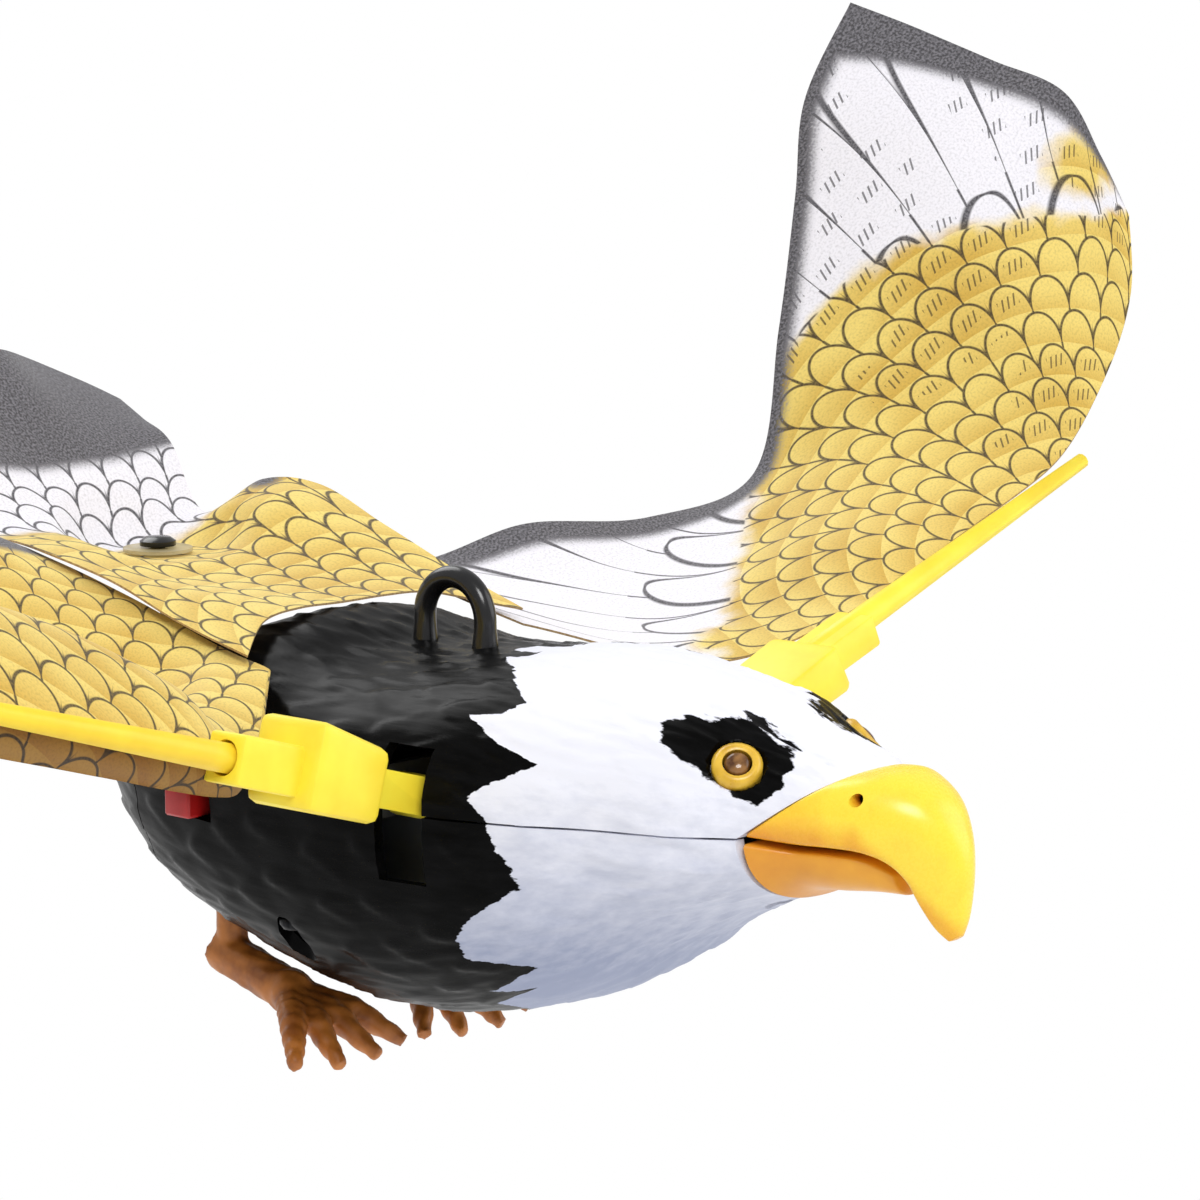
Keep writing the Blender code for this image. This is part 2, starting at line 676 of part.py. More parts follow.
def build_lower_shell():
    shell = finish("lower_shell", body_form(0.0, BODY_RINGS, BODY_SEGMENTS), "black_abs")
    inside = cut(shell, body_form(WALL, BODY_RINGS - 6, BODY_SEGMENTS - 8))
    for _, x, forward in screw_places():
        cut(inside, column(x, forward, -0.05, 0.001, SCREW_COLUMN_RADIUS))
    for side in SIDES.values():
        middle = FRAME_FORWARD + PLATE_THICKNESS / 2
        top = PIVOT_HEIGHT - EAR_BELOW - GAP
        cut(inside, column(side * FRAME_POST_X, middle, -0.05, top, POST_RADIUS))
        for plate in (rear_plate_start(), front_plate_start()):
            middle = plate + PLATE_THICKNESS / 2
            cut(inside, column(side * PLATE_POST_X, middle, -0.05, GEAR_PLATE_BOTTOM - GAP, POST_RADIUS))
    boolean(shell, "INTERSECT", half_space(False))
    cut(shell, bird_box((-0.06, TAIL_END - 0.02, -0.06), (0.06, DOOR_SEAM + GAP / 2, 0.01)))
    cut(shell, beak_cutter())
    for side in SIDES.values():
        cut(shell, slot_cutter(side))
        x = side * FOOT_X
        low = body_skin(x, LEG_FORWARD, False)
        cut(shell, column(x, LEG_FORWARD, low - 0.004, low + 0.006, LEG_RADIUS + GAP))
    for _, x, forward in screw_places():
        seat = screw_seat(x, forward)
        cut(shell, column(x, forward, seat - 0.02, seat, SCREW_HEAD_RADIUS + GAP))
        cut(shell, column(x, forward, seat - 0.01, 0.004, SCREW_RADIUS + GAP))
    cut(shell, switch_slot_cutter())
    return shell


def build_battery_door():
    """The tail cap of the lower shell, with a rib that carries the rear contact."""
    door = finish("battery_door", body_form(0.0, BODY_RINGS, BODY_SEGMENTS), "black_abs")
    cut(door, body_form(WALL, BODY_RINGS - 6, BODY_SEGMENTS - 8))
    boolean(door, "INTERSECT", half_space(False))
    cut(door, bird_box((-0.06, DOOR_SEAM - GAP / 2, -0.06), (0.06, HEAD_END + 0.02, 0.01)))
    rib_front = contact_rear() - GAP
    rib_low = body_skin(DOOR_RIB_HALF_WIDTH, DOOR_SEAM - 0.002, False) + WALL * 0.5
    join(door, bird_box(
        (-DOOR_RIB_HALF_WIDTH, rib_front - DOOR_RIB_THICKNESS, rib_low),
        (DOOR_RIB_HALF_WIDTH, rib_front, DOOR_RIB_TOP),
    ))
    return door


# Hang ring


def ring_radius():
    return RING_STOCK / 2


def ring_half_width():
    """From the ring's middle to the middle of its stock."""
    return RING_HOLE_WIDTH / 2 + ring_radius()


def mesh_of_curve(name, splines, depth, resolution=3, profile=None):
    """A welded bmesh of round stock along points; each point is (place, share of the depth)."""
    curve = bpy.data.curves.new(name, "CURVE")
    curve.dimensions = "3D"
    curve.bevel_depth = depth
    curve.bevel_resolution = resolution
    curve.use_fill_caps = True
    for points in splines:
        spline = curve.splines.new("POLY")
        spline.points.add(len(points) - 1)
        for target, (point, share) in zip(spline.points, points):
            target.co = (*point, 1.0)
            target.radius = share
    obj = bpy.data.objects.new(name, curve)
    CUTTERS.objects.link(obj)
    bpy.context.view_layer.update()
    graph = bpy.context.evaluated_depsgraph_get()
    mesh = bpy.data.meshes.new_from_object(obj.evaluated_get(graph))
    bm = bmesh.new()
    bm.from_mesh(mesh)
    bmesh.ops.remove_doubles(bm, verts=bm.verts, dist=1e-6)
    bpy.data.objects.remove(obj, do_unlink=True)
    bpy.data.meshes.remove(mesh)
    return bm


def ring_foot_top():
    """The foot lies under the shell's inside, clear of its lowest place along the foot."""
    half = RING_FOOT_LENGTH / 2
    edge = RING_FOOT_WIDTH / 2
    return min(body_skin(edge, f, True, WALL) for f in (-half, 0.0, half)) - 2 * GAP


def build_hang_ring():
    half = ring_half_width()
    crown = -PARTING_Z + ring_radius()
    spring_line = crown - half
    foot_top = ring_foot_top()
    points = [(place(0, -half, foot_top - RING_FOOT_THICKNESS / 2), 1.0)]
    points.append((place(0, -half, spring_line - 0.001), 1.0))
    for step in range(17):
        angle = math.pi * step / 16
        points.append((place(0, -half * math.cos(angle), spring_line + half * math.sin(angle)), 1.0))
    points.append((place(0, half, spring_line - 0.001), 1.0))
    points.append((place(0, half, foot_top - RING_FOOT_THICKNESS / 2), 1.0))
    ring = finish("hang_ring", mesh_of_curve("hang_ring_stock", [points], ring_radius()), "black_abs")
    join(ring, bird_box(
        (-RING_FOOT_WIDTH / 2, -RING_FOOT_LENGTH / 2, foot_top - RING_FOOT_THICKNESS),
        (RING_FOOT_WIDTH / 2, RING_FOOT_LENGTH / 2, foot_top),
    ))
    return ring


# Beak


def arch(low, high, half_width, upwards, count=16):
    """A flat-footed arch of points: its foot at low, its crown at high, leaning as they do."""
    foot = Vector((0, *low))
    lean = Vector((0, *high)) - foot
    points = []
    for step in range(count + 1):
        angle = math.pi * step / count
        rise = math.sin(angle) ** (2 / BODY_ROUNDNESS)
        x = half_width * math.copysign(abs(math.cos(angle)) ** (2 / BODY_ROUNDNESS), math.cos(angle))
        spot = foot + lean * rise
        points.append(place(x, spot.y, spot.z))
    return points if upwards else points[::-1]


def seat_arch(upwards, inset, back):
    """The arch where the beak meets the head: the body's own section along the slanted plane."""
    crown = (FOREHEAD_FORWARD, FOREHEAD_HEIGHT) if upwards else (THROAT_FORWARD, -THROAT_DEPTH)
    slope = (crown[0] - GAPE_FORWARD) / abs(crown[1])
    reach = 0.0
    step = 0.0001
    while body_side(GAPE_FORWARD + slope * reach, math.copysign(reach, crown[1]), inset) > 0.0002 and reach < 0.02:
        reach += step
    points = []
    count = 16
    for k in range(count + 1):
        angle = math.pi * k / count
        height = reach * math.sin(angle)
        forward = GAPE_FORWARD + slope * height
        x = body_side(forward, math.copysign(height, crown[1]), inset)
        x = math.copysign(x, math.cos(angle)) if k != count // 2 else 0.0
        lift = GAP if upwards else -GAP
        points.append(place(x, forward + back, math.copysign(height, crown[1]) + lift))
    return points if upwards else points[::-1]


def build_beak():
    seat = GAP * 1.3
    upper_rings = [seat_arch(True, 0.0, seat)]
    upper_rings += [arch(low, high, half, True) for low, high, half in UPPER_BEAK]
    upper = finish("upper_beak", loft_mesh(upper_rings), "beak_yellow")
    for side in SIDES.values():
        spot = place(side * NOSTRIL_OUTER_X, *NOSTRIL)
        inward = place(side * NOSTRIL_INNER_X, *NOSTRIL)
        cut(upper, bar_mesh(inward, spot, NOSTRIL_RADIUS, sides=12))
    lower_rings = [seat_arch(False, 0.0, seat)]
    lower_rings += [arch(high, low, half, False) for low, high, half in LOWER_BEAK]
    finish("lower_beak", loft_mesh(lower_rings), "beak_orange")


# Eyes


def turned_mesh(profile, start, outward, steps=24):
    """A solid of revolution: profile points (radius, distance along outward), from the axis to the axis."""
    bm = bmesh.new()
    rows = []
    for radius, along in profile:
        if radius == 0.0:
            rows.append([bm.verts.new((0, 0, along))])
            continue
        rows.append([
            bm.verts.new((radius * math.cos(2 * math.pi * k / steps), radius * math.sin(2 * math.pi * k / steps), along))
            for k in range(steps)
        ])
    for low, high in zip(rows, rows[1:] + rows[:1]):
        if len(low) == 1 and len(high) == 1:
            continue
        for k in range(steps):
            after = (k + 1) % steps
            corners = [low[k % len(low)], low[after % len(low)], high[after % len(high)], high[k % len(high)]]
            bm.faces.new(list(dict.fromkeys(corners)))
    turn = Vector((0, 0, 1)).rotation_difference(outward).to_matrix().to_4x4()
    bm.transform(Matrix.Translation(start) @ turn)
    return bm


def build_eyes():
    for name, side in SIDES.items():
        centre, outward = eye_axis(side)
        hole = PUPIL_RADIUS + GAP
        back = EYE_RING_PROUD - EYE_RING_DEPTH
        rim = 0.0005
        ring_profile = (
            (hole, back),
            (EYE_RING_RADIUS, back),
            (EYE_RING_RADIUS, EYE_RING_PROUD - rim),
            (EYE_RING_RADIUS - rim, EYE_RING_PROUD),
            (hole + rim, EYE_RING_PROUD + rim * 0.4),
            (hole, EYE_RING_PROUD),
        )
        finish(f"{name}_eye_ring", turned_mesh(ring_profile, centre, outward), "lemon_plastic")
        lens_profile = (
            (0.0, back),
            (PUPIL_RADIUS, back),
            (PUPIL_RADIUS, PUPIL_PROUD * 0.4),
            (PUPIL_RADIUS * 0.8, PUPIL_PROUD * 0.8),
            (PUPIL_RADIUS * 0.4, PUPIL_PROUD),
            (0.0, PUPIL_PROUD * 1.05),
        )
        finish(f"{name}_eye_lens", turned_mesh(lens_profile, centre, outward), "pupil_plastic")
        led_front = back - GAP
        led_profile = (
            (0.0, led_front - LED_LENGTH),
            (LED_RADIUS, led_front - LED_LENGTH),
            (LED_RADIUS, led_front - LED_RADIUS),
            (LED_RADIUS * 0.7, led_front - LED_RADIUS * 0.3),
            (0.0, led_front),
        )
        finish(f"{name}_eye_led", turned_mesh(led_profile, centre, outward, 16), "led_clear")


# Wing arms, in arm coordinates: s outwards from the pin, y rearwards, n up from the arm


def arm_frame(name):
    """Turns arm coordinates into world coordinates at rest."""
    side = SIDES[name]
    turn = Matrix.Rotation(math.radians(-side * RAISE[name]), 4, "Y")
    pivot = place(side * PIVOT_X, PIVOT_FORWARD, PIVOT_HEIGHT)
    return Matrix.Translation(pivot) @ turn @ Matrix.Diagonal((side, 1, 1, 1))


def horn_end(name):
    """World place of the horn's eye, in the middle of the horn."""
    lean = math.radians(HORN_LEVEL_RAISE)
    local = Vector((-HORN_LENGTH * math.cos(lean), 0, HORN_LENGTH * math.sin(lean)))
    return arm_frame(name) @ local


def link_plane(name):
    """Forward place of the rear face of a connecting rod; the right one lies ahead of the left one."""
    first = PIVOT_FORWARD + HORN_WIDTH / 2 + GAP
    return first if name == "left" else first + LINK_THICKNESS + GAP


def crank_pin_place():
    """Where the two connecting rods meet below the horns, as (x, h)."""
    left = Vector(unplace(horn_end("left")))
    right = Vector(unplace(horn_end("right")))
    apart = left - right
    middle = (left + right) / 2
    half = math.hypot(apart.x, apart.z) / 2
    drop = math.sqrt(LINK_LENGTH**2 - half**2)
    return middle.x + apart.z / (2 * half) * drop, middle.z - apart.x / (2 * half) * drop


def socket_mesh(frame):
    """The rounded block outside the body, higher at its outer end."""
    half_width = SOCKET_WIDTH / 2
    half_height = SOCKET_HEIGHT / 2
    bm = box_mesh(
        (SOCKET_START, -half_width, -half_height),
        (SOCKET_START + SOCKET_LENGTH, half_width, half_height),
    )
    for vert in bm.verts:
        if vert.co.x > SOCKET_START + SOCKET_LENGTH / 2 and vert.co.z > 0:
            vert.co.z += SOCKET_HUMP
    bmesh.ops.bevel(bm, geom=bm.edges[:], offset=SOCKET_ROUNDING, segments=2, profile=0.5, affect="EDGES")
    bm.transform(frame)
    return bm


def build_wing_arm(name):
    frame = arm_frame(name)
    pivot = place(SIDES[name] * PIVOT_X, PIVOT_FORWARD, PIVOT_HEIGHT)
    along = Vector((0, 1, 0))
    half_hub = HUB_LENGTH / 2
    arm = finish(f"{name}_wing_socket", socket_mesh(frame), "lemon_plastic")
    overlap = 0.0012
    join(arm, box_mesh(
        (0.0, -ARM_WIDTH / 2, -ARM_HEIGHT / 2),
        (SOCKET_START + overlap, ARM_WIDTH / 2, ARM_HEIGHT / 2),
        frame=frame,
    ))
    plug_start = SOCKET_START + SOCKET_LENGTH - overlap
    plug_half = PLUG_SIZE / 2
    join(arm, box_mesh(
        (plug_start, -plug_half, -plug_half),
        (plug_start + PLUG_LENGTH + overlap, plug_half, plug_half),
        rounding=0.0006,
        frame=frame,
    ))
    join(arm, bar_mesh(pivot - along * half_hub, pivot + along * half_hub, HUB_RADIUS))
    lean = Matrix.Rotation(math.radians(HORN_LEVEL_RAISE), 4, "Y")
    join(arm, box_mesh(
        (-HORN_LENGTH, -HORN_WIDTH / 2, -HORN_HEIGHT / 2),
        (-HUB_RADIUS * 0.5, HORN_WIDTH / 2, HORN_HEIGHT / 2),
        frame=frame @ lean,
    ))
    eye = horn_end(name)
    pin_front = link_plane(name) + LINK_THICKNESS - GAP
    pin_reach = pin_front - PIVOT_FORWARD
    join(arm, bar_mesh(eye + along * (HORN_WIDTH / 2 - 0.0004), eye - along * (HORN_WIDTH / 2 - 0.0004), HORN_HEIGHT / 2 + 0.0004))
    join(arm, bar_mesh(eye, eye - along * pin_reach, CRANK_PIN_RADIUS))
    cut(arm, bar_mesh(pivot - along * (half_hub + 0.002), pivot + along * (half_hub + 0.002), PIN_RADIUS + RUNNING_GAP))
    bore_start = frame @ Vector((ROD_START - GAP, 0, 0))
    bore_end = frame @ Vector((plug_start + PLUG_LENGTH + 0.01, 0, 0))
    cut(arm, bar_mesh(bore_start, bore_end, ROD_ROOT_RADIUS + GAP))
    return arm


def build_wing_rod(name):
    """The tapered rod in the arm's socket, along the wing's leading edge."""
    frame = arm_frame(name)
    curve = bpy.data.curves.new(f"{name}_wing_rod", "CURVE")
    curve.dimensions = "3D"
    curve.bevel_depth = ROD_ROOT_RADIUS
    curve.bevel_resolution = 3
    curve.use_fill_caps = True
    spline = curve.splines.new("POLY")
    plug_end = SOCKET_START + SOCKET_LENGTH + PLUG_LENGTH
    stations = [ROD_START, plug_end + 0.001]
    steps = 6
    stations += [plug_end + (ROD_REACH - plug_end) * k / steps for k in range(1, steps + 1)]
    spline.points.add(len(stations) - 1)
    for point, s in zip(spline.points, stations):
        point.co = (*(frame @ Vector((s, 0, 0))), 1.0)
        share = max(0.0, (s - plug_end) / (ROD_REACH - plug_end))
        point.radius = 1 + (ROD_TIP_RADIUS / ROD_ROOT_RADIUS - 1) * share
    rod = bpy.data.objects.new(f"{name}_wing_rod", curve)
    curve.materials.append(material("lemon_plastic"))
    PARTS.objects.link(rod)
    return rod


def build_pivot_pin(name):
    x = SIDES[name] * PIVOT_X
    front = rear_plate_start() + PLATE_THICKNESS - GAP
    start = place(x, FRAME_FORWARD + GAP, PIVOT_HEIGHT)
    end = place(x, front, PIVOT_HEIGHT)
    finish(f"{name}_pivot_pin", bar_mesh(start, end, PIN_RADIUS), "steel")


def build_link(name):
    """A connecting rod from the horn's pin to the crank pin, with an eye at both ends."""
    rear = link_plane(name)
    top = Vector(unplace(horn_end(name)))
    x, h = crank_pin_place()
    low_a, low_b = place(x, rear, h), place(x, rear + LINK_THICKNESS, h)
    top_a, top_b = place(top.x, rear, top.z), place(top.x, rear + LINK_THICKNESS, top.z)
    link = finish(f"{name}_connecting_rod", bar_mesh(low_a, low_b, LINK_EYE_RADIUS), "acetal_white")
    join(link, bar_mesh(top_a, top_b, LINK_EYE_RADIUS))
    along = (top_a - low_a).normalized()
    across = Vector((along.z, 0, -along.x)) * LINK_WIDTH / 2
    corners = [low_a + across, top_a + across, top_a - across, low_a - across]
    join(link, prism_mesh([(p.x, p.z) for p in corners], low_a.y, low_b.y))
    out = Vector((0, 0.002, 0))
    for start, end in ((low_a, low_b), (top_a, top_b)):
        cut(link, bar_mesh(start + out, end - out, CRANK_PIN_RADIUS + RUNNING_GAP, sides=16))
    return link


# Gear train


def pitch_radius(teeth):
    return GEAR_MODULE * teeth / 2


def involute(angle):
    return math.tan(angle) - angle


def gear_outline(teeth, phase):
    """Points of an involute gear's outline, with a tooth centred at the angle phase."""
    pitch = pitch_radius(teeth)
    base = pitch * math.cos(math.radians(PRESSURE_ANGLE))
    tip = pitch + ADDENDUM * GEAR_MODULE
    root = pitch - DEDENDUM * GEAR_MODULE
    half_tooth = math.pi / (2 * teeth) * TOOTH_THINNING
    at_pitch = half_tooth + involute(math.radians(PRESSURE_ANGLE))
    flank = []
    for radius in (root, max(base, root + 0.00001), tip):
        roll = math.acos(min(1.0, base / radius))
        flank.append((radius, at_pitch - involute(roll)))
    points = []
    for tooth in range(teeth):
        centre = phase + 2 * math.pi * tooth / teeth
        for radius, half in flank:
            points.append((radius, centre - half))
        for radius, half in reversed(flank):
            points.append((radius, centre + half))
    return [(radius * math.cos(angle), radius * math.sin(angle)) for radius, angle in points]


def gear_mesh(teeth, phase, centre, start):
    """A spur gear in the plane across the body; centre is (x, h) and start its rear face."""
    outline = [(centre[0] + x, centre[1] + z + PARTING_Z) for x, z in gear_outline(teeth, phase)]
    return prism_mesh(outline, -start, -(start + GEAR_FACE))


def link_front():
    """Forward face of the foremost connecting rod."""
    return link_plane("right") + LINK_THICKNESS


def disc_start():
    return link_front() + GAP + CRANK_PIN_STUB


def rear_plate_start():
    return disc_start() + CRANK_DISC_THICKNESS + GAP


def first_gear_start():
    return rear_plate_start() + PLATE_THICKNESS + GAP


def second_gear_start():
    return first_gear_start() + GEAR_FACE + GAP


def front_plate_start():
    return second_gear_start() + GEAR_FACE + GAP


def motor_start():
    return front_plate_start() + PLATE_THICKNESS + GAP


def crank_centre():
    return 0.0, CRANK_HEIGHT


def motor_centre():
    return 0.0, MOTOR_HEIGHT


def idler_centre():
    """Where the compound gear meshes with both the crank gear and the pinion."""
    to_crank = pitch_radius(CRANK_TEETH) + pitch_radius(IDLER_SMALL_TEETH)
    to_motor = pitch_radius(IDLER_BIG_TEETH) + pitch_radius(PINION_TEETH)
    apart = MOTOR_HEIGHT - CRANK_HEIGHT
    along = (to_crank**2 - to_motor**2 + apart**2) / (2 * apart)
    return math.sqrt(to_crank**2 - along**2), CRANK_HEIGHT + along


def bearing(start, end):
    """Angle of the line from one centre to the other."""
    return math.atan2(end[1] - start[1], end[0] - start[0])


def axle_mesh(centre, start, end, radius, sides=16):
    return bar_mesh(place(centre[0], start, centre[1]), place(centre[0], end, centre[1]), radius, sides=sides)


def build_gear_train():
    crank, idler, motor = crank_centre(), idler_centre(), motor_centre()
    far = 0.003
    to_idler = bearing(crank, idler)
    crank_gear = finish("crank_gear", gear_mesh(CRANK_TEETH, to_idler, crank, first_gear_start()), "acetal_white")
    cut(crank_gear, axle_mesh(crank, first_gear_start() - far, second_gear_start() + far, SHAFT_RADIUS + GAP))
    small_phase = to_idler + math.pi + math.pi / IDLER_SMALL_TEETH
    compound = finish(
        "compound_gear", gear_mesh(IDLER_SMALL_TEETH, small_phase, idler, first_gear_start()), "acetal_white"
    )
    to_motor = bearing(idler, motor)
    join(compound, gear_mesh(IDLER_BIG_TEETH, to_motor, idler, second_gear_start()))
    hub = pitch_radius(IDLER_SMALL_TEETH) * 0.7
    join(compound, axle_mesh(idler, first_gear_start() + GEAR_FACE / 2, second_gear_start() + GEAR_FACE / 2, hub))
    cut(compound, axle_mesh(idler, first_gear_start() - far, front_plate_start() + far, SHAFT_RADIUS + RUNNING_GAP))
    finish("idler_shaft", axle_mesh(idler, rear_plate_start() + GAP, motor_start() - 2 * GAP, SHAFT_RADIUS), "steel")
    pinion_phase = to_motor + math.pi + math.pi / PINION_TEETH
    pinion = finish("motor_pinion", gear_mesh(PINION_TEETH, pinion_phase, motor, second_gear_start()), "steel")
    join(pinion, axle_mesh(motor, second_gear_start() + GEAR_FACE / 2, motor_start() + 0.004, SHAFT_RADIUS))
    pin_x, pin_h = crank_pin_place()
    disc = finish(
        "crank_disc",
        axle_mesh(crank, disc_start(), disc_start() + CRANK_DISC_THICKNESS, CRANK_DISC_RADIUS, sides=32),
        "acetal_white",
    )
    join(disc, axle_mesh(crank, disc_start() + 0.001, motor_start() - 2 * GAP, SHAFT_RADIUS))
    join(disc, axle_mesh((pin_x, pin_h), disc_start() - CRANK_PIN_STUB, disc_start() + 0.001, CRANK_PIN_RADIUS))
    return crank_gear, compound, pinion, disc


def plate_half_width(start):
    """Half width of a cross plate whose ears end just inside the shells."""
    end = start + PLATE_THICKNESS
    corners = [(f, h) for f in (start, end) for h in (PIVOT_HEIGHT - EAR_BELOW, PIVOT_HEIGHT + EAR_ABOVE)]
    return min(body_side(f, h, WALL) for f, h in corners) - 2 * GAP


def gear_plate_mesh(start):
    """A gearbox plate, narrowed towards its foot to clear the shell."""
    half = (
        (GEAR_PLATE_FOOT_HALF_WIDTH, GEAR_PLATE_BOTTOM),
        (GEAR_PLATE_HALF_WIDTH, GEAR_PLATE_SHOULDER),
        (GEAR_PLATE_HALF_WIDTH, GEAR_PLATE_TOP),
    )
    outline = [(x, h) for x, h in half] + [(-x, h) for x, h in reversed(half)]
    return prism_mesh([(x, h + PARTING_Z) for x, h in outline], -start, -(start + PLATE_THICKNESS))


def build_frames():
    ear_low = PIVOT_HEIGHT - EAR_BELOW
    ear_high = PIVOT_HEIGHT + EAR_ABOVE
    far = 0.003
    half = plate_half_width(FRAME_FORWARD)
    wing_frame = finish(
        "wing_frame",
        bird_box((-half, FRAME_FORWARD, ear_low), (half, FRAME_FORWARD + PLATE_THICKNESS, ear_high)),
        "frame_grey",
    )
    rear = rear_plate_start()
    half = plate_half_width(rear)
    rear_plate = finish(
        "gearbox_rear_plate",
        bird_box((-half, rear, ear_low), (half, rear + PLATE_THICKNESS, ear_high)),
        "frame_grey",
    )
    front = front_plate_start()
    join(rear_plate, gear_plate_mesh(rear))
    front_plate = finish("gearbox_front_plate", gear_plate_mesh(front), "frame_grey")
    for side in SIDES.values():
        spot = (side * PIVOT_X, PIVOT_HEIGHT)
        for plate, start in ((wing_frame, FRAME_FORWARD), (rear_plate, rear)):
            cut(plate, axle_mesh(spot, start - far, start + far, PIN_RADIUS + GAP))
    for plate, start in ((rear_plate, rear), (front_plate, front)):
        for centre in (crank_centre(), idler_centre()):
            cut(plate, axle_mesh(centre, start - far, start + far, SHAFT_RADIUS + RUNNING_GAP))
    cut(front_plate, axle_mesh(motor_centre(), front - far, front + far, SHAFT_RADIUS + RUNNING_GAP))


def build_motor():
    start = motor_start()
    can = finish("motor_can", axle_mesh(motor_centre(), start, start + MOTOR_LENGTH, MOTOR_RADIUS, sides=32), "steel")
    cut(can, axle_mesh(motor_centre(), start - 0.003, start + 0.0045, SHAFT_RADIUS + RUNNING_GAP))


# Cells and electronics


def cell_x(k):
    return (k - (CELL_COUNT - 1) / 2) * CELL_PITCH


def contact_rear():
    """Rear face of the rear contact."""
    return CELL_REAR - GAP - CONTACT_THICKNESS


def tray_outline(offset):
    """Half section of the sleeve round the cells, as far outside them as offset."""
    reach = CELL_RADIUS + TRAY_FIT + offset
    outer = cell_x(CELL_COUNT - 1) + reach
    lean = math.radians(45)
    chamfer = reach / math.cos(lean)
    middle = cell_x(CELL_COUNT - 1)
    shoulder = (outer, CELL_HEIGHT - (chamfer - reach))
    foot = (middle + chamfer - reach, CELL_HEIGHT - reach)
    return (
        (outer, CELL_HEIGHT + reach),
        shoulder,
        foot,
        (-foot[0], foot[1]),
        (-shoulder[0], shoulder[1]),
        (-outer, CELL_HEIGHT + reach),
    )


def tray_half_width():
    return tray_outline(TRAY_WALL)[0][0]


def build_cells():
    front = CELL_REAR + CELL_LENGTH
    wall_front = front + 2 * GAP + CONTACT_THICKNESS + TRAY_WALL
    outer = [(x, h + PARTING_Z) for x, h in tray_outline(TRAY_WALL)]
    inner = [(x, h + PARTING_Z) for x, h in tray_outline(0.0)]
    tray = finish("battery_tray", prism_mesh(outer, -TRAY_REAR, -wall_front), "frame_grey")
    cut(tray, prism_mesh(inner, -TRAY_REAR + 0.002, -(wall_front - TRAY_WALL)))
    for k in range(CELL_COUNT):
        centre = (cell_x(k), CELL_HEIGHT)
        body_front = front - CELL_NIPPLE_LENGTH
        cell = finish(f"cell_{k + 1}", axle_mesh(centre, CELL_REAR, body_front, CELL_RADIUS, sides=24), "cell_wrap")
        join(cell, axle_mesh(centre, body_front - 0.001, front, CELL_NIPPLE_RADIUS, sides=12))
    low = CELL_HEIGHT - CONTACT_HEIGHT / 2
    high = CELL_HEIGHT + CONTACT_HEIGHT / 2
    wide = CONTACT_HALF_WIDTH
    front_start = front + GAP
    finish(
        "front_contact",
        bird_box((-wide, front_start, low), (wide, front_start + CONTACT_THICKNESS, high)),
        "steel",
    )
    rear_start = contact_rear()
    return finish(
        "rear_contact",
        bird_box((-wide, rear_start, low), (wide, rear_start + CONTACT_THICKNESS, high)),
        "steel",
    )


def build_electronics():
    tray_top = CELL_HEIGHT + CELL_RADIUS + TRAY_FIT + TRAY_WALL
    low = tray_top + GAP
    board_top = low + BOARD_THICKNESS
    finish(
        "circuit_board",
        bird_box(
            (-BOARD_WIDTH / 2, BOARD_FORWARD - BOARD_LENGTH / 2, low),
            (BOARD_WIDTH / 2, BOARD_FORWARD + BOARD_LENGTH / 2, board_top),
        ),
        "board_green",
    )
    start = place(0, BOARD_FORWARD, board_top + GAP)
    rim = SPEAKER_RADIUS * 0.82
    profile = (
        (0.0, 0.0),
        (SPEAKER_RADIUS * 0.55, 0.0),
        (SPEAKER_RADIUS, SPEAKER_DEPTH * 0.5),
        (SPEAKER_RADIUS, SPEAKER_DEPTH),
        (rim, SPEAKER_DEPTH),
        (SPEAKER_RADIUS * 0.35, SPEAKER_DEPTH * 0.55),
        (0.0, SPEAKER_DEPTH * 0.65),
    )
    finish("speaker", turned_mesh(profile, start, Vector((0, 0, 1))), "frame_grey")


# Power switch


def knob_base():
    """Distance from the middle plane to the knob's inner end."""
    half = SWITCH_BODY_LENGTH / 2
    corners = [(SWITCH_FORWARD + a * half, SWITCH_HEIGHT + b * SWITCH_BODY_HEIGHT / 2) for a in (-1, 1) for b in (-1, 1)]
    return min(body_side(f, h, WALL) for f, h in corners) - GAP


def switch_slot_cutter():
    half = KNOB_LENGTH / 2 + GAP
    low = (-0.05, SWITCH_FORWARD - half, SWITCH_HEIGHT - KNOB_HEIGHT / 2 - GAP)
    high = (-knob_base() + 0.001, SWITCH_FORWARD + half + SWITCH_TRAVEL, SWITCH_HEIGHT + KNOB_HEIGHT / 2 + GAP)
    return bird_box(low, high)


def build_switch():
    base = knob_base()
    outer = body_side(SWITCH_FORWARD, SWITCH_HEIGHT) + KNOB_PROUD
    half = SWITCH_BODY_LENGTH / 2
    tall = SWITCH_BODY_HEIGHT / 2
    finish(
        "switch_body",
        bird_box(
            (-base + GAP, SWITCH_FORWARD - half, SWITCH_HEIGHT - tall),
            (-tray_half_width() - SWITCH_TRAY_GAP, SWITCH_FORWARD + half, SWITCH_HEIGHT + tall),
        ),
        "frame_grey",
    )
    return finish(
        "switch_knob",
        bird_box(
            (-outer, SWITCH_FORWARD - KNOB_LENGTH / 2, SWITCH_HEIGHT - KNOB_HEIGHT / 2),
            (-base, SWITCH_FORWARD + KNOB_LENGTH / 2, SWITCH_HEIGHT + KNOB_HEIGHT / 2),
            rounding=0.0004,
        ),
        "switch_red",
    )


# Feet


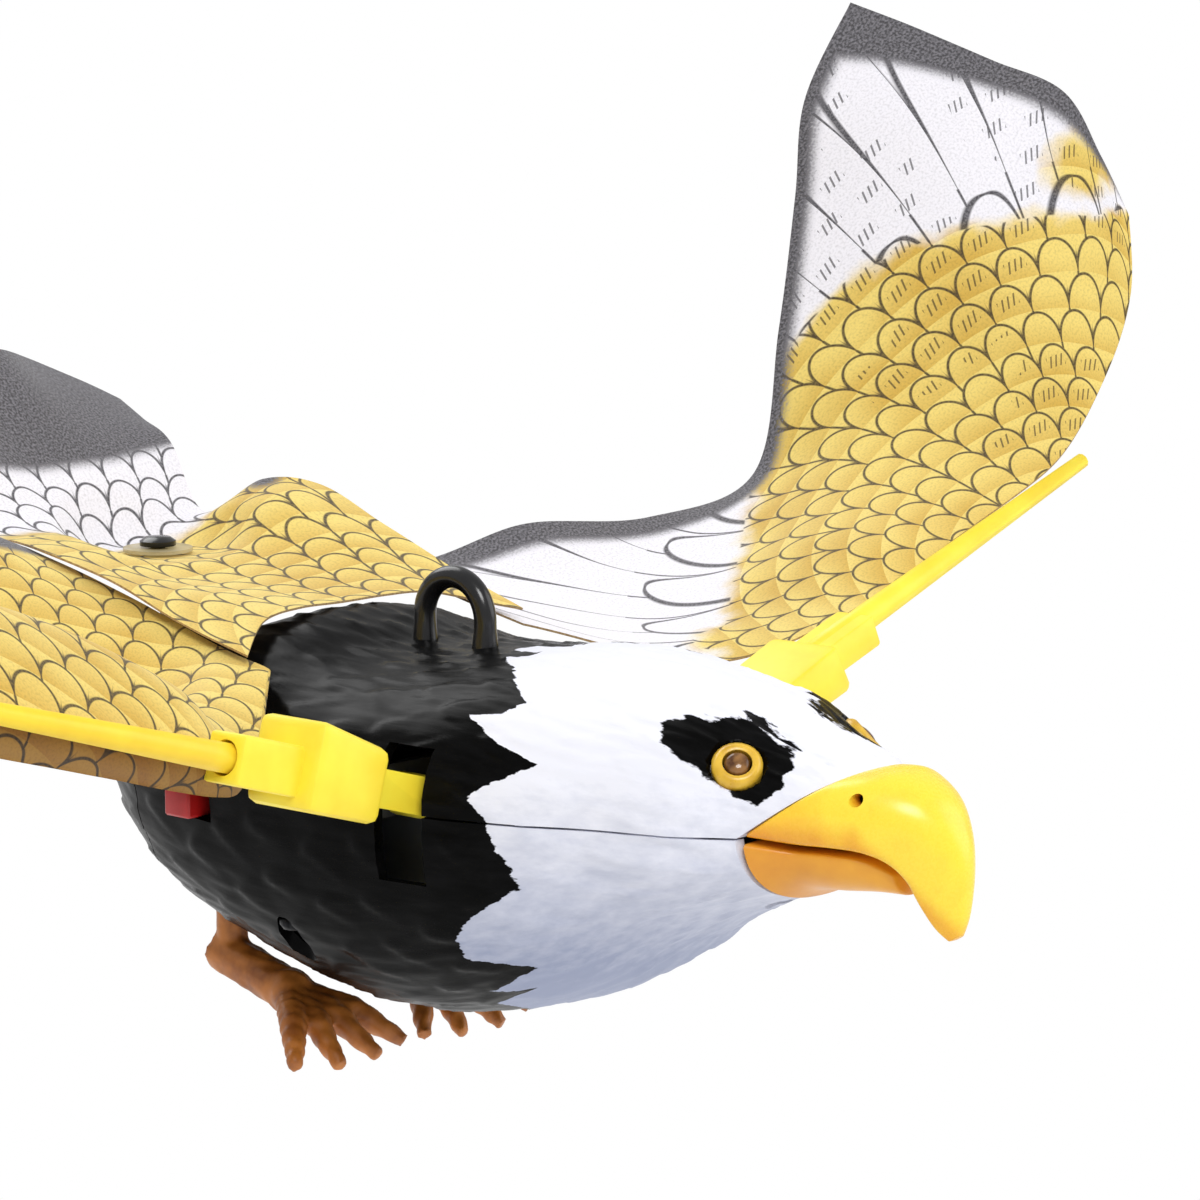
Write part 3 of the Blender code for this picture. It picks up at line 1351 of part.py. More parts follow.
def build_foot(name):
    side = SIDES[name]
    x = side * FOOT_X
    peg_top = body_skin(x, LEG_FORWARD, False, WALL) + LEG_PEG
    heel = place(x, *HEEL)
    instep = place(x, *INSTEP)
    foot = finish(f"{name}_foot", bar_mesh(place(x, LEG_FORWARD, HEEL[1]), place(x, LEG_FORWARD, peg_top), LEG_RADIUS, sides=16), "foot_brown")
    join(foot, bar_mesh(heel, instep, TARSUS_RADIUS, sides=14))
    join(foot, ball_mesh(instep, TARSUS_RADIUS * 1.12))
    for spread, forward, height in TOE_TIPS:
        tip = place(x + side * spread, forward, height)
        knuckle = instep.lerp(tip, 0.55) + Vector((0, 0, 0.0012))
        path = [(instep, 1.0), (knuckle, 0.85), (tip, TOE_TIP_RADIUS / TOE_ROOT_RADIUS)]
        join(foot, mesh_of_curve("toe", [path], TOE_ROOT_RADIUS, resolution=2))
    return foot


# Tail stud and shell screws


def build_stud():
    cloth_top = STUD_HEIGHT + CLOTH_THICKNESS / 2
    washer_low = cloth_top + GAP
    washer_top = washer_low + WASHER_THICKNESS
    head_low = washer_top + GAP
    shank_low = STUD_HEIGHT - CLOTH_THICKNESS / 2 - CLOTH_GAP - STUD_SHANK_LENGTH
    up = Vector((0, 0, 1))
    base = place(0, STUD_FORWARD, 0)
    hole = STUD_SHANK_RADIUS + GAP
    washer_profile = (
        (hole, washer_low),
        (WASHER_RADIUS, washer_low),
        (WASHER_RADIUS, washer_top),
        (hole, washer_top),
    )
    finish("tail_washer", turned_mesh(washer_profile, base, up), "patch_film")
    stud_profile = (
        (0.0, shank_low),
        (STUD_SHANK_RADIUS, shank_low),
        (STUD_SHANK_RADIUS, head_low),
        (STUD_HEAD_RADIUS, head_low),
        (STUD_HEAD_RADIUS, head_low + STUD_HEAD_HEIGHT * 0.5),
        (STUD_HEAD_RADIUS * 0.7, head_low + STUD_HEAD_HEIGHT * 0.9),
        (0.0, head_low + STUD_HEAD_HEIGHT),
    )
    finish("tail_stud", turned_mesh(stud_profile, base, up), "black_abs")


def build_shell_screws():
    for name, x, forward in screw_places():
        seat = screw_seat(x, forward)
        tip = screw_tip(x, forward)
        head_top = seat - GAP
        profile = (
            (0.0, head_top - SCREW_HEAD_HEIGHT),
            (SCREW_HEAD_RADIUS * 0.8, head_top - SCREW_HEAD_HEIGHT),
            (SCREW_HEAD_RADIUS, head_top - SCREW_HEAD_HEIGHT * 0.6),
            (SCREW_HEAD_RADIUS, head_top),
            (SCREW_RADIUS, head_top),
            (SCREW_RADIUS, tip - 0.001),
            (0.0, tip),
        )
        finish(name, turned_mesh(profile, place(x, forward, 0), Vector((0, 0, 1)), 16), "steel")


# Cloth


def net_point(net, u, v):
    """A place on the smoothed net; u runs over its rows and v along them, both from 0 to 1."""

    def span(share, count):
        at = min(max(share, 0.0), 1.0) * (count - 1)
        i = min(int(at), count - 2)
        return i, at - i, [min(max(k, 0), count - 1) for k in (i - 1, i, i + 1, i + 2)]

    _, t, rows = span(u, len(net))
    _, w, columns = span(v, len(net[0]))
    along = []
    for row in rows:
        picked = [Vector(net[row][column]) for column in columns]
        along.append(Vector(hermite(*(p[k] for p in picked), w) for k in range(3)))
    return Vector(hermite(*(p[k] for p in along), t) for k in range(3)) * NET_UNIT


def press_under_washer(point):
    """Levels the cloth round the stud, where the washer holds it down."""
    away = math.hypot(point.x, point.y + STUD_FORWARD)
    free = min(max((away - PRESSED_RADIUS) / (FREE_RADIUS - PRESSED_RADIUS), 0.0), 1.0)
    free = free * free * (3 - 2 * free)
    level = PARTING_Z + STUD_HEIGHT
    return Vector((point.x, point.y, level + (point.z - level) * free))


def cloth_mesh(net, side):
    """A thin closed sheet over the net."""
    rows, columns = CLOTH_GRID
    grid = []
    for i in range(rows):
        spots = [net_point(net, i / (rows - 1), j / (columns - 1)) for j in range(columns)]
        grid.append([press_under_washer(place(side * p.x, p.y, p.z + NET_BASE)) for p in spots])
    bm = bmesh.new()
    layers = []
    for sense in (1, -1):
        layer = []
        for i in range(rows):
            line = []
            for j in range(columns):
                along = grid[min(i + 1, rows - 1)][j] - grid[max(i - 1, 0)][j]
                across = grid[i][min(j + 1, columns - 1)] - grid[i][max(j - 1, 0)]
                normal = along.cross(across).normalized()
                line.append(bm.verts.new(grid[i][j] + normal * sense * CLOTH_THICKNESS / 2))
            layer.append(line)
        layers.append(layer)
    for layer in layers:
        for i in range(rows - 1):
            for j in range(columns - 1):
                bm.faces.new((layer[i][j], layer[i + 1][j], layer[i + 1][j + 1], layer[i][j + 1]))
    top, under = layers
    rim = [(i, 0) for i in range(rows)] + [(rows - 1, j) for j in range(1, columns)]
    rim += [(i, columns - 1) for i in range(rows - 2, -1, -1)] + [(0, j) for j in range(columns - 2, 0, -1)]
    for (a, b), (c, d) in zip(rim, rim[1:] + rim[:1]):
        bm.faces.new((top[a][b], top[c][d], under[c][d], under[a][b]))
    return bm


def build_wing_sheet(name):
    net = LEFT_NET if name == "left" else RIGHT_NET
    return finish(f"{name}_wing_sheet", cloth_mesh(net, SIDES[name]), "cloth_print")


def build_tail_sheet():
    sheet = finish("tail_sheet", cloth_mesh(TAIL_NET, 1), "cloth_print")
    low = place(0, STUD_FORWARD, STUD_HEIGHT - 0.003)
    high = place(0, STUD_FORWARD, STUD_HEIGHT + 0.003)
    cut(sheet, bar_mesh(low, high, STUD_SHANK_RADIUS + GAP, sides=12))


def main():
    build_upper_shell()
    build_lower_shell()
    door = build_battery_door()
    build_hang_ring()
    build_beak()
    build_eyes()
    build_frames()
    build_motor()
    rear_contact = build_cells()
    build_electronics()
    knob = build_switch()
    build_stud()
    build_tail_sheet()
    build_shell_screws()
    for name in SIDES:
        pivot = joint_empty(f"{name}_wing_axis", place(SIDES[name] * PIVOT_X, PIVOT_FORWARD, PIVOT_HEIGHT))
        carry(pivot, build_wing_arm(name), build_wing_rod(name), build_wing_sheet(name))
        build_pivot_pin(name)
        horn = joint_empty(f"{name}_link_axis", horn_end(name))
        carry(horn, build_link(name))
        build_foot(name)
    crank_gear, compound, pinion, disc = build_gear_train()
    carry(joint_empty("crank_axis", place(crank_centre()[0], rear_plate_start(), crank_centre()[1])), crank_gear, disc)
    carry(joint_empty("idler_axis", place(idler_centre()[0], rear_plate_start(), idler_centre()[1])), compound)
    carry(joint_empty("motor_axis", place(motor_centre()[0], motor_start(), motor_centre()[1])), pinion)
    carry(joint_empty("door_axis", door_axis()), door, rear_contact)
    carry(joint_empty("switch_axis", place(-knob_base(), SWITCH_FORWARD, SWITCH_HEIGHT)), knob)


main()
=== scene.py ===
"""Looks of a hanging bird deterrent: a moulded black and white bird of prey with printed cloth wings.

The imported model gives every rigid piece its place. This script builds the feathered shells, the beak, the
hang ring and the cloth anew round it, smooths what shows of the rest, and gives each piece the finish of what
it is made of. Bird coordinates are in millimetres: to the bird's left, forward of the ring, above the seam.
"""

from __future__ import annotations

import json
import logging
import math
from dataclasses import dataclass
from enum import Enum
from typing import Callable, Sequence

import bpy
import numpy as np
from bpy.types import ID, Material, Node, NodeSocket, NodeTree, Object
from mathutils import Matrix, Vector, noise

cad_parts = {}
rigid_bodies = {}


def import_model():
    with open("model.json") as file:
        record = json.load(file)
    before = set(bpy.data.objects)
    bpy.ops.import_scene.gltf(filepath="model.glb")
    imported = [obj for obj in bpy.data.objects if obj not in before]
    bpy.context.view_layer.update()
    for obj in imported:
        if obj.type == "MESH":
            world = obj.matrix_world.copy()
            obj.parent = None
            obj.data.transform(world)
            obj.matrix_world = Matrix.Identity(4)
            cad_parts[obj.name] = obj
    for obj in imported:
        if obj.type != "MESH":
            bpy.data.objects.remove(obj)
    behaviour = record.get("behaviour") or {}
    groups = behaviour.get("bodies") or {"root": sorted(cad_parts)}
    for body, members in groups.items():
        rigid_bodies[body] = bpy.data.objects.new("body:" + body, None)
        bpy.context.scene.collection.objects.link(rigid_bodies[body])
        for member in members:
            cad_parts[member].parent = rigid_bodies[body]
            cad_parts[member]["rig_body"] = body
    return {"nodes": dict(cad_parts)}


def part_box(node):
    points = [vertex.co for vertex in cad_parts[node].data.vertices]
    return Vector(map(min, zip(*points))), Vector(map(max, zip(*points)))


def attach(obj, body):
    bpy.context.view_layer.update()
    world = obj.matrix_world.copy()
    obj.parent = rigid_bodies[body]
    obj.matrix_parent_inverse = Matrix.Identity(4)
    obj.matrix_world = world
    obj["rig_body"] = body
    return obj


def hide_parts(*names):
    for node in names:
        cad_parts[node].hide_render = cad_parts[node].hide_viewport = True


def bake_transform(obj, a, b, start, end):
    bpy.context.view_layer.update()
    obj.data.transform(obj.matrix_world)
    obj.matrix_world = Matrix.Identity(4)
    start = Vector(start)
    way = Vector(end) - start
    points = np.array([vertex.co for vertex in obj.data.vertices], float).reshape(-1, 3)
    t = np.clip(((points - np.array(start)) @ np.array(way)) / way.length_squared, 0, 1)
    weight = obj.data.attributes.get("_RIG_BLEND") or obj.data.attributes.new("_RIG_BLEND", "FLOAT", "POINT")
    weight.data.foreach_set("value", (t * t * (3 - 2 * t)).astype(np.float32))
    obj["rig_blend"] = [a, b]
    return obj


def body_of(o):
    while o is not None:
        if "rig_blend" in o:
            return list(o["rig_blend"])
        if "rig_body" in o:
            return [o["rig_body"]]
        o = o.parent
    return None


LOG = logging.getLogger("bird_deterrent")
MM = 0.001

# The body's sections, as in the solids: forward, half width, height above and depth below the seam
BODY_SECTIONS = np.array(
    (
        (-60.5, 4.0, 4.0, 4.0),
        (-57.0, 12.5, 9.0, 10.5),
        (-50.0, 20.0, 11.0, 16.5),
        (-38.0, 27.0, 14.0, 24.6),
        (-22.0, 31.5, 19.2, 29.6),
        (-5.0, 33.5, 16.4, 33.5),
        (10.0, 34.0, 16.8, 33.6),
        (25.0, 32.8, 18.4, 30.4),
        (36.0, 29.6, 18.2, 25.8),
        (47.0, 24.8, 17.2, 18.4),
        (57.0, 21.4, 15.6, 12.9),
        (66.0, 15.8, 12.0, 9.6),
        (74.0, 12.2, 9.6, 7.8),
        (78.5, 8.5, 6.0, 5.0),
        (81.0, 3.5, 2.5, 2.2),
    )
)
ROUNDNESS = 2.3
SEAM_Z = -24.5
NET_BASE = 15.7
GAPE = 65.5
FOREHEAD = (77.6, 9.6)
THROAT = (66.8, -9.0)
EYE = (63.5, 9.3)


class Side(Enum):
    """The bird's two sides."""

    LEFT = 1
    RIGHT = -1

    @property
    def word(self) -> str:
        """The side's name as the nodes carry it."""
        return self.name.lower()


class Slot(Enum):
    """The record's material slots, one named with each new piece."""

    BLACK = "body_black"
    BEAK = "beak_yellow"
    LOWER_BEAK = "beak_orange"
    LEMON = "lemon_plastic"
    PUPIL = "pupil_plastic"
    FOOT = "foot_brown"
    SWITCH = "switch_red"
    CLOTH = "cloth_print"
    FILM = "patch_film"
    STEEL = "steel"


def through(rows: np.ndarray, at: np.ndarray | float) -> np.ndarray:
    """Runs a smooth curve through rows of values.

    Args:
        rows: the values at 0, 1, 2 and so on.
        at: places along the rows.

    Returns:
        The values at each place.
    """
    last = len(rows) - 1
    at = np.clip(np.atleast_1d(np.asarray(at, float)), 0.0, last)
    i = np.minimum(at.astype(int), last - 1)
    t = (at - i).reshape((-1,) + (1,) * (rows.ndim - 1))
    a, b, c, d = (rows[np.clip(i + k, 0, last)] for k in (-1, 0, 1, 2))
    return 0.5 * (2 * b + (c - a) * t + (2 * a - 5 * b + 4 * c - d) * t**2 + (3 * b - a - 3 * c + d) * t**3)


SKIN_PLACES = np.linspace(0, len(BODY_SECTIONS) - 1, 2801)
SKIN = through(BODY_SECTIONS, SKIN_PLACES)


def body_at(forward: np.ndarray | float, column: int) -> np.ndarray:
    """The body's half width (1), height (2) or depth (3) at places along it."""
    return np.interp(forward, SKIN[:, 0], SKIN[:, column])


def body_side(forward: np.ndarray | float, height: np.ndarray | float) -> np.ndarray:
    """How far out the skin lies at a place along the body and a height over the seam."""
    reach = np.where(np.asarray(height) >= 0, body_at(forward, 2), body_at(forward, 3))
    share = np.clip(1 - (np.abs(height) / reach) ** ROUNDNESS, 0.0, 1.0)
    return body_at(forward, 1) * share ** (1 / ROUNDNESS)


def body_skin(x: float, forward: float, above: bool) -> float:
    """Height of the skin over or under a place seen from above."""
    share = max(0.0, 1 - (abs(x) / float(body_at(forward, 1))) ** ROUNDNESS) ** (1 / ROUNDNESS)
    return float(body_at(forward, 2)) * share if above else -float(body_at(forward, 3)) * share


def to_world(spots: np.ndarray) -> np.ndarray:
    """World places, in metres, of bird coordinates."""
    return np.stack((spots[..., 0], -spots[..., 1], spots[..., 2] + SEAM_Z), axis=-1) * MM


def to_bird(points: np.ndarray) -> np.ndarray:
    """Bird coordinates of world places in metres."""
    return np.stack((points[..., 0], -points[..., 1], points[..., 2] - SEAM_Z * MM), axis=-1) / MM


def place(x: float, forward: float, height: float) -> Vector:
    """World place of one spot on the bird."""
    return Vector((x * MM, -forward * MM, (SEAM_Z + height) * MM))


def smoothstep(value: np.ndarray, low: float, high: float) -> np.ndarray:
    """Rises softly from 0 at low to 1 at high."""
    share = np.clip((value - low) / (high - low), 0.0, 1.0)
    return share * share * (3 - 2 * share)


def noise_at(*axes: np.ndarray) -> np.ndarray:
    """Smooth noise from -1 to 1 at places given by three arrays."""
    flat = np.stack([axis.ravel() for axis in np.broadcast_arrays(*axes)], axis=1)
    return np.array([noise.noise(Vector(spot)) for spot in flat]).reshape(np.broadcast(*axes).shape)


# Finishes


def linear(hex_code: str) -> tuple[float, float, float, float]:
    """Turns an sRGB hex colour into linear light.

    Args:
        hex_code: six hex digits after a hash sign.

    Returns:
        Red, green, blue and alpha.
    """
    levels = [int(hex_code[k : k + 2], 16) / 255 for k in (1, 3, 5)]
    red, green, blue = (v / 12.92 if v <= 0.04045 else ((v + 0.055) / 1.055) ** 2.4 for v in levels)
    return (red, green, blue, 1.0)


def fill(node: Node, inputs: dict[str | int, object]) -> None:
    """Links or sets a node's inputs by name or number; a hex code becomes a colour."""
    for key, value in inputs.items():
        if isinstance(value, NodeSocket):
            node.id_data.links.new(value, node.inputs[key])
        else:
            node.inputs[key].default_value = linear(value) if isinstance(value, str) else value


def add(
    tree: NodeTree,
    kind: str,
    *values: object,
    into: dict[str | int, object] | None = None,
    out: int | str = 0,
    stops: Sequence[tuple[float, str]] = (),
    **settings: object,
) -> NodeSocket:
    """Adds a node with its settings, values and links.

    Args:
        tree: node tree that takes it.
        kind: the node's type name after ShaderNode.
        values: value or output socket for each input in turn.
        into: more of them by the input's name or number.
        out: output to hand back.
        stops: position and hex colour of a colour ramp's stops.
        settings: the node's own properties.

    Returns:
        The output socket; its node has the others.
    """
    node = tree.nodes.new("ShaderNode" + kind)
    for name, value in settings.items():
        setattr(node, name, value)
    for number, (position, colour) in enumerate(stops):
        elements = node.color_ramp.elements
        element = elements[number] if number < 2 else elements.new(position)
        element.position = position
        element.color = linear(colour)
    fill(node, {**dict(enumerate(values)), **(into or {})})
    return node.outputs[out]


def new_material(name: str) -> tuple[Material, NodeTree, Node]:
    """Starts a material and gives its tree and its Principled shader."""
    made = bpy.data.materials.new(name)
    made.use_nodes = True
    tree = made.node_tree
    return made, tree, tree.nodes["Principled BSDF"]


@dataclass(frozen=True)
class MouldedPlastic:
    """Injection-moulded plastic: the eye sees an even colour with faint flow marks and a fine grain."""

    name: str
    colour: str
    shade: str
    roughness: float = 0.38
    flow_mm: float = 9.0
    grain_mm: float = 0.5
    grain_depth_mm: float = 0.012
    translucent: float = 0.0
    alpha: float = 1.0

    def build(self) -> Material:
        """Makes the material."""
        made, tree, shader = new_material(self.name)
        here = add(tree, "TexCoord", out="Object")
        flow = add(tree, "TexNoise", into={"Vector": here, "Scale": 1000 / self.flow_mm, "Detail": 3.0})
        base = add(tree, "ValToRGB", flow, stops=((0.30, self.shade), (0.62, self.colour)))
        grain = add(tree, "TexNoise", into={"Vector": here, "Scale": 1000 / self.grain_mm, "Detail": 2.0})
        rough = add(tree, "MapRange", grain, 0.0, 1.0, self.roughness - 0.05, self.roughness + 0.07)
        pressed = {"Height": grain, "Strength": 0.5, "Distance": self.grain_depth_mm * MM}
        bump = add(tree, "Bump", into=pressed)
        fill(shader, {"Base Color": base, "Roughness": rough, "Normal": bump, "Alpha": self.alpha})
        glow = {"Subsurface Radius": (1.0, 0.7, 0.2), "Subsurface Scale": 0.002}
        fill(shader, {"Subsurface Weight": self.translucent, **glow})
        return made


@dataclass(frozen=True)
class TwoToneBeak:
    """Yellow ABS misted with orange: the eye sees a glossy yellow that warms towards mouth and face, and
    painted shade in the nostril bores.
    """

    name: str
    bright: str
    warm: str
    deep: str
    # Painted shade inside the nostril bores
    bore: str = "#2a1608"
    roughness: float = 0.26
    mist_per_m: float = 260.0
    mist: float = 0.45
    grain_per_m: float = 1800.0
    grain_depth_mm: float = 0.015

    def build(self) -> Material:
        """Makes the material; it reads the piece's attribute for warmth and for the painted shade in the
        nostril bores.
        """
        made, tree, shader = new_material(self.name)
        here = add(tree, "TexCoord", out="Object")
        warmth = add(tree, "Attribute", out="Fac", attribute_name="warmth")
        mist = add(tree, "TexNoise", into={"Vector": here, "Scale": self.mist_per_m, "Detail": 4.0})
        spread = add(tree, "Math", mist, -0.5, operation="ADD")
        sprayed = add(tree, "Math", spread, self.mist, warmth, operation="MULTIPLY_ADD")
        stops = ((0.06, self.bright), (0.42, self.warm), (0.76, self.deep), (0.98, self.bore))
        base = add(tree, "ValToRGB", sprayed, stops=stops)
        grain = add(tree, "TexNoise", into={"Vector": here, "Scale": self.grain_per_m, "Detail": 2.0})
        rough = add(tree, "MapRange", grain, 0.0, 1.0, self.roughness - 0.05, self.roughness + 0.08)
        pressed = {"Height": grain, "Strength": 0.4, "Distance": self.grain_depth_mm * MM}
        bump = add(tree, "Bump", into=pressed)
        fill(shader, {"Base Color": base, "Roughness": rough, "Normal": bump})
        glow = {"Subsurface Radius": (1.0, 0.5, 0.15), "Subsurface Scale": 0.0015}
        fill(shader, {"Subsurface Weight": 0.05, **glow})
        return made


@dataclass(frozen=True)
class TurnedSteel:
    """Bare steel, turned or drawn: the eye sees fine rings and small differences in polish."""

    name: str = "bright_steel"
    colour: str = "#b9babb"
    shade: str = "#8f9092"
    roughness: float = 0.28
    line_mm: float = 0.35
    drawn_out: float = 12.0

    def build(self) -> Material:
        """Makes the material."""
        made, tree, shader = new_material(self.name)
        here = add(tree, "TexCoord", out="Object")
        stretched = add(tree, "Mapping", into={0: here, 3: (1.0, self.drawn_out, 1.0)})
        scale = 1000 / self.line_mm / self.drawn_out
        lines = add(tree, "TexNoise", into={"Vector": stretched, "Scale": scale})
        tint = add(tree, "ValToRGB", lines, stops=((0.3, self.shade), (0.7, self.colour)))
        rough = add(tree, "MapRange", lines, 0.0, 1.0, self.roughness - 0.06, self.roughness + 0.1)
        fill(shader, {"Base Color": tint, "Roughness": rough, "Metallic": 1.0})
        return made


@dataclass(frozen=True)
class PaintedShell:
    """Black ABS with a sprayed white head: the eye sees brushed barbs, a ragged masked paint edge and painted
    shade on the white.
    """

    name: str = "black_abs_painted_head"
    black: str = "#060606"
    black_worn: str = "#101011"
    white: str = "#e6e7f1"
    # The white, and its painted shade low down and between the barbs
    white_shade: str = "#9da4bc"
    barb_mm: float = 0.9
    fringe_mm: float = 2.0
    patch_share: float = 0.7
    barb_slant_degrees: float = -12.0
    barb_stretch: float = 0.16
    barb_depth_mm: float = 0.11
    # Heights over the seam between which the white brightens: a painted shade, darker towards the bottom
    bright_mm: tuple[float, float] = (-24.0, 8.0)
    # Below that of ABS, 1.53: with it the pale room greys the black at a slant, unlike the photograph
    ior: float = 1.12

    def build(self) -> Material:
        """Makes the material; it reads the shells' paint and patch attributes, in millimetres."""
        made, tree, shader = new_material(self.name)
        here = add(tree, "TexCoord", out="Object")
        height = add(tree, "SeparateXYZ", here, out=2)
        slant = (math.radians(self.barb_slant_degrees), 0.0, 0.0)
        stretched = add(tree, "Mapping", into={0: here, 2: slant, 3: (1.0, self.barb_stretch, 1.0)})
        drawn = {"Vector": stretched, "Scale": 1000 / self.barb_mm / 2, "Detail": 4.0, "Roughness": 0.6}
        barbs = add(tree, "TexNoise", into=drawn)
        fringe = add(tree, "Math", barbs, -0.5, operation="ADD")
        white = self._inside(tree, "paint", fringe, self.fringe_mm)
        patch = self._inside(tree, "patch", fringe, self.fringe_mm * self.patch_share)
        clear = add(tree, "Math", 1.0, patch, operation="SUBTRACT")
        white = add(tree, "Math", white, clear, operation="MULTIPLY")
        dark = add(tree, "ValToRGB", barbs, stops=((0.40, self.black), (0.78, self.black_worn)))
        # Painted shade: the white darkens towards the bottom, and lightens and darkens along the barbs
        low, high = ((SEAM_Z + over) * MM for over in self.bright_mm)
        crown = add(tree, "MapRange", height, low, high, 0.0, 0.86)
        lit = add(tree, "Math", fringe, 0.55, crown, operation="MULTIPLY_ADD")
        pale = add(tree, "ValToRGB", lit, stops=((0.05, self.white_shade), (0.80, self.white)))
        colour = add(tree, "Mix", into={0: white, 6: dark, 7: pale}, out=2, data_type="RGBA")
        rough = add(tree, "MapRange", white, 0.0, 1.0, 0.27, 0.42)
        bump = add(tree, "Bump", into={"Height": barbs, "Strength": 0.5, "Distance": self.barb_depth_mm * MM})
        fill(shader, {"Base Color": colour, "Roughness": rough, "Normal": bump, "IOR": self.ior})
        return made

    def _inside(self, tree: NodeTree, attribute: str, fringe: NodeSocket, spread: float) -> NodeSocket:
        """One where an attribute is above zero, with an edge frayed along the barbs."""
        depth = add(tree, "Attribute", out="Fac", attribute_name=attribute)
        frayed = add(tree, "Math", fringe, spread * 2, depth, operation="MULTIPLY_ADD")
        return add(tree, "MapRange", frayed, -0.10, 0.10)


@dataclass(frozen=True)
class PrintedSatin:
    """Thin polyester satin, printed on one side: the eye sees drawn scales, long quills and a sooty border,
    with painted shade on the hem under the rod.

    The weave is drawn coarser than its real 0.1 mm, which the render can't show.
    """

    name: str
    scale_mm: float
    row_mm: float
    tan: str = "#e9cf70"
    gold: str = "#cfa843"
    white: str = "#ebe9f0"
    soot: str = "#403e42"
    soot_pale: str = "#77757b"
    line: str = "#35260f"
    ink: str = "#2f2c33"
    # Painted shade laid over the hem that hangs under the rod
    muted: str = "#a98c66"
    quill_mm: tuple[float, float] = (8.6, 41.0)
    line_mm: float = 0.46
    weave_mm: float = 0.42
    weave_depth_mm: float = 0.05
    cloud_per_m: float = 150.0
    wide_per_m: float = 38.0
    # How square the ends of scales and quills are, and how far their peaks are skewed
    scale_end: tuple[float, float] = (2.0, 1.0)
    quill_end: tuple[float, float] = (2.4, 0.55)
    # How far each zone's edge wanders, and how softly it ends
    outer_edge_mm: tuple[float, float] = (0.0, 0.2)
    white_edge_mm: tuple[float, float] = (7.0, 2.2)
    soot_edge_mm: tuple[float, float] = (3.2, 1.3)
    crown: float = 0.94
    strokes: float = 7.0
    stroke_share: float = 0.30
    stroke_ink: float = 0.85

    def build(self) -> Material:
        """Makes the material; it reads the sheet's print and cut maps and its zones, in millimetres."""
        made, tree, shader = new_material(self.name)
        turn = add(tree, "SeparateXYZ", add(tree, "UVMap", uv_map="print"))
        radius = turn.node.outputs[1]
        cut = add(tree, "UVMap", uv_map="cut")
        weave = add(tree, "TexNoise", into={"Vector": cut, "Scale": 1000 / self.weave_mm, "Detail": 2.0})
        cloud = add(tree, "TexNoise", into={"Vector": cut, "Scale": self.cloud_per_m, "Detail": 3.0})
        wide = add(tree, "TexNoise", into={"Vector": cut, "Scale": self.wide_per_m, "Detail": 2.0})
        scale = (self.scale_mm, self.row_mm)
        scale_line, rise, spot = self._scallops(tree, turn, radius, *scale, *self.scale_end)
        quill_line, _, _ = self._scallops(tree, turn, radius, *self.quill_mm, *self.quill_end)
        outer = self._zone(tree, "outer", cloud, *self.outer_edge_mm)
        white = self._zone(tree, "white", cloud, *self.white_edge_mm)
        soot = self._zone(tree, "soot", weave, *self.soot_edge_mm)
        drawn = add(tree, "Mix", into={0: outer, 2: scale_line, 3: quill_line}, data_type="FLOAT")

        lit = add(tree, "Math", rise, 0.35, wide, operation="MULTIPLY_ADD")
        ground = add(tree, "ValToRGB", lit, stops=((0.42, self.gold), (0.80, self.tan)))
        ground = add(tree, "Mix", into={0: white, 6: ground, 7: self.white}, out=2, data_type="RGBA")
        stroke = add(tree, "Mix", into={0: white, 6: self.line, 7: self.ink}, out=2, data_type="RGBA")
        hatch = self._hatch(tree, rise, spot, wide)
        marks = add(tree, "Math", drawn, hatch, operation="MAXIMUM")
        taken = add(tree, "MapRange", weave, 0.25, 0.6, 0.72, 0.97)
        marks = add(tree, "Math", marks, taken, operation="MULTIPLY")
        face = add(tree, "Mix", into={0: marks, 6: ground, 7: stroke}, out=2, data_type="RGBA")
        mottle = add(tree, "ValToRGB", weave, stops=((0.38, self.soot), (0.66, self.soot_pale)))
        face = add(tree, "Mix", into={0: soot, 6: face, 7: mottle}, out=2, data_type="RGBA")
        # The hem's painted shade, then the weave's specks
        muted = add(tree, "Attribute", out="Fac", attribute_name="muted")
        speck = add(tree, "ValToRGB", weave, stops=((0.30, "#d9d9d9"), (0.55, "#ffffff")))
        for share, over in ((muted, self.muted), (0.6, speck)):
            laid = {0: share, 6: face, 7: over}
            face = add(tree, "Mix", into=laid, out=2, data_type="RGBA", blend_type="MULTIPLY")
        woven = {"Height": weave, "Strength": 0.35, "Distance": self.weave_depth_mm * MM}
        bump = add(tree, "Bump", into=woven)
        fill(shader, {"Base Color": face, "Normal": bump, "Roughness": 0.75})
        fill(shader, {"Sheen Weight": 0.15, "Sheen Roughness": 0.5})
        return made

    def _zone(
        self, tree: NodeTree, attribute: str, wander: NodeSocket, spread: float, soft: float
    ) -> NodeSocket:
        """One inside a zone of the print, whose edge wanders and fades."""
        depth = add(tree, "Attribute", out="Fac", attribute_name=attribute)
        shift = add(tree, "Math", wander, -0.5, operation="ADD")
        edge = add(tree, "Math", shift, spread, depth, operation="MULTIPLY_ADD")
        return add(tree, "MapRange", edge, -soft, soft, interpolation_type="SMOOTHSTEP")

    def _spot(
        self, tree: NodeTree, turn: NodeSocket, count: NodeSocket, width: float, row: float
    ) -> NodeSocket:
        """How far across its feather a place is in one row, from 0 at one side to 1 at the other."""
        cells = add(tree, "Math", count, 2 * math.pi * row / width, 0.5, operation="MULTIPLY_ADD")
        cells = add(tree, "Math", cells, operation="FLOOR")
        odd = add(tree, "Math", count, 1.0, operation="PINGPONG")
        shift = add(tree, "Math", odd, 0.5, operation="MULTIPLY")
        spot = add(tree, "Math", turn, cells, shift, operation="MULTIPLY_ADD")
        return add(tree, "Math", spot, operation="FRACT")

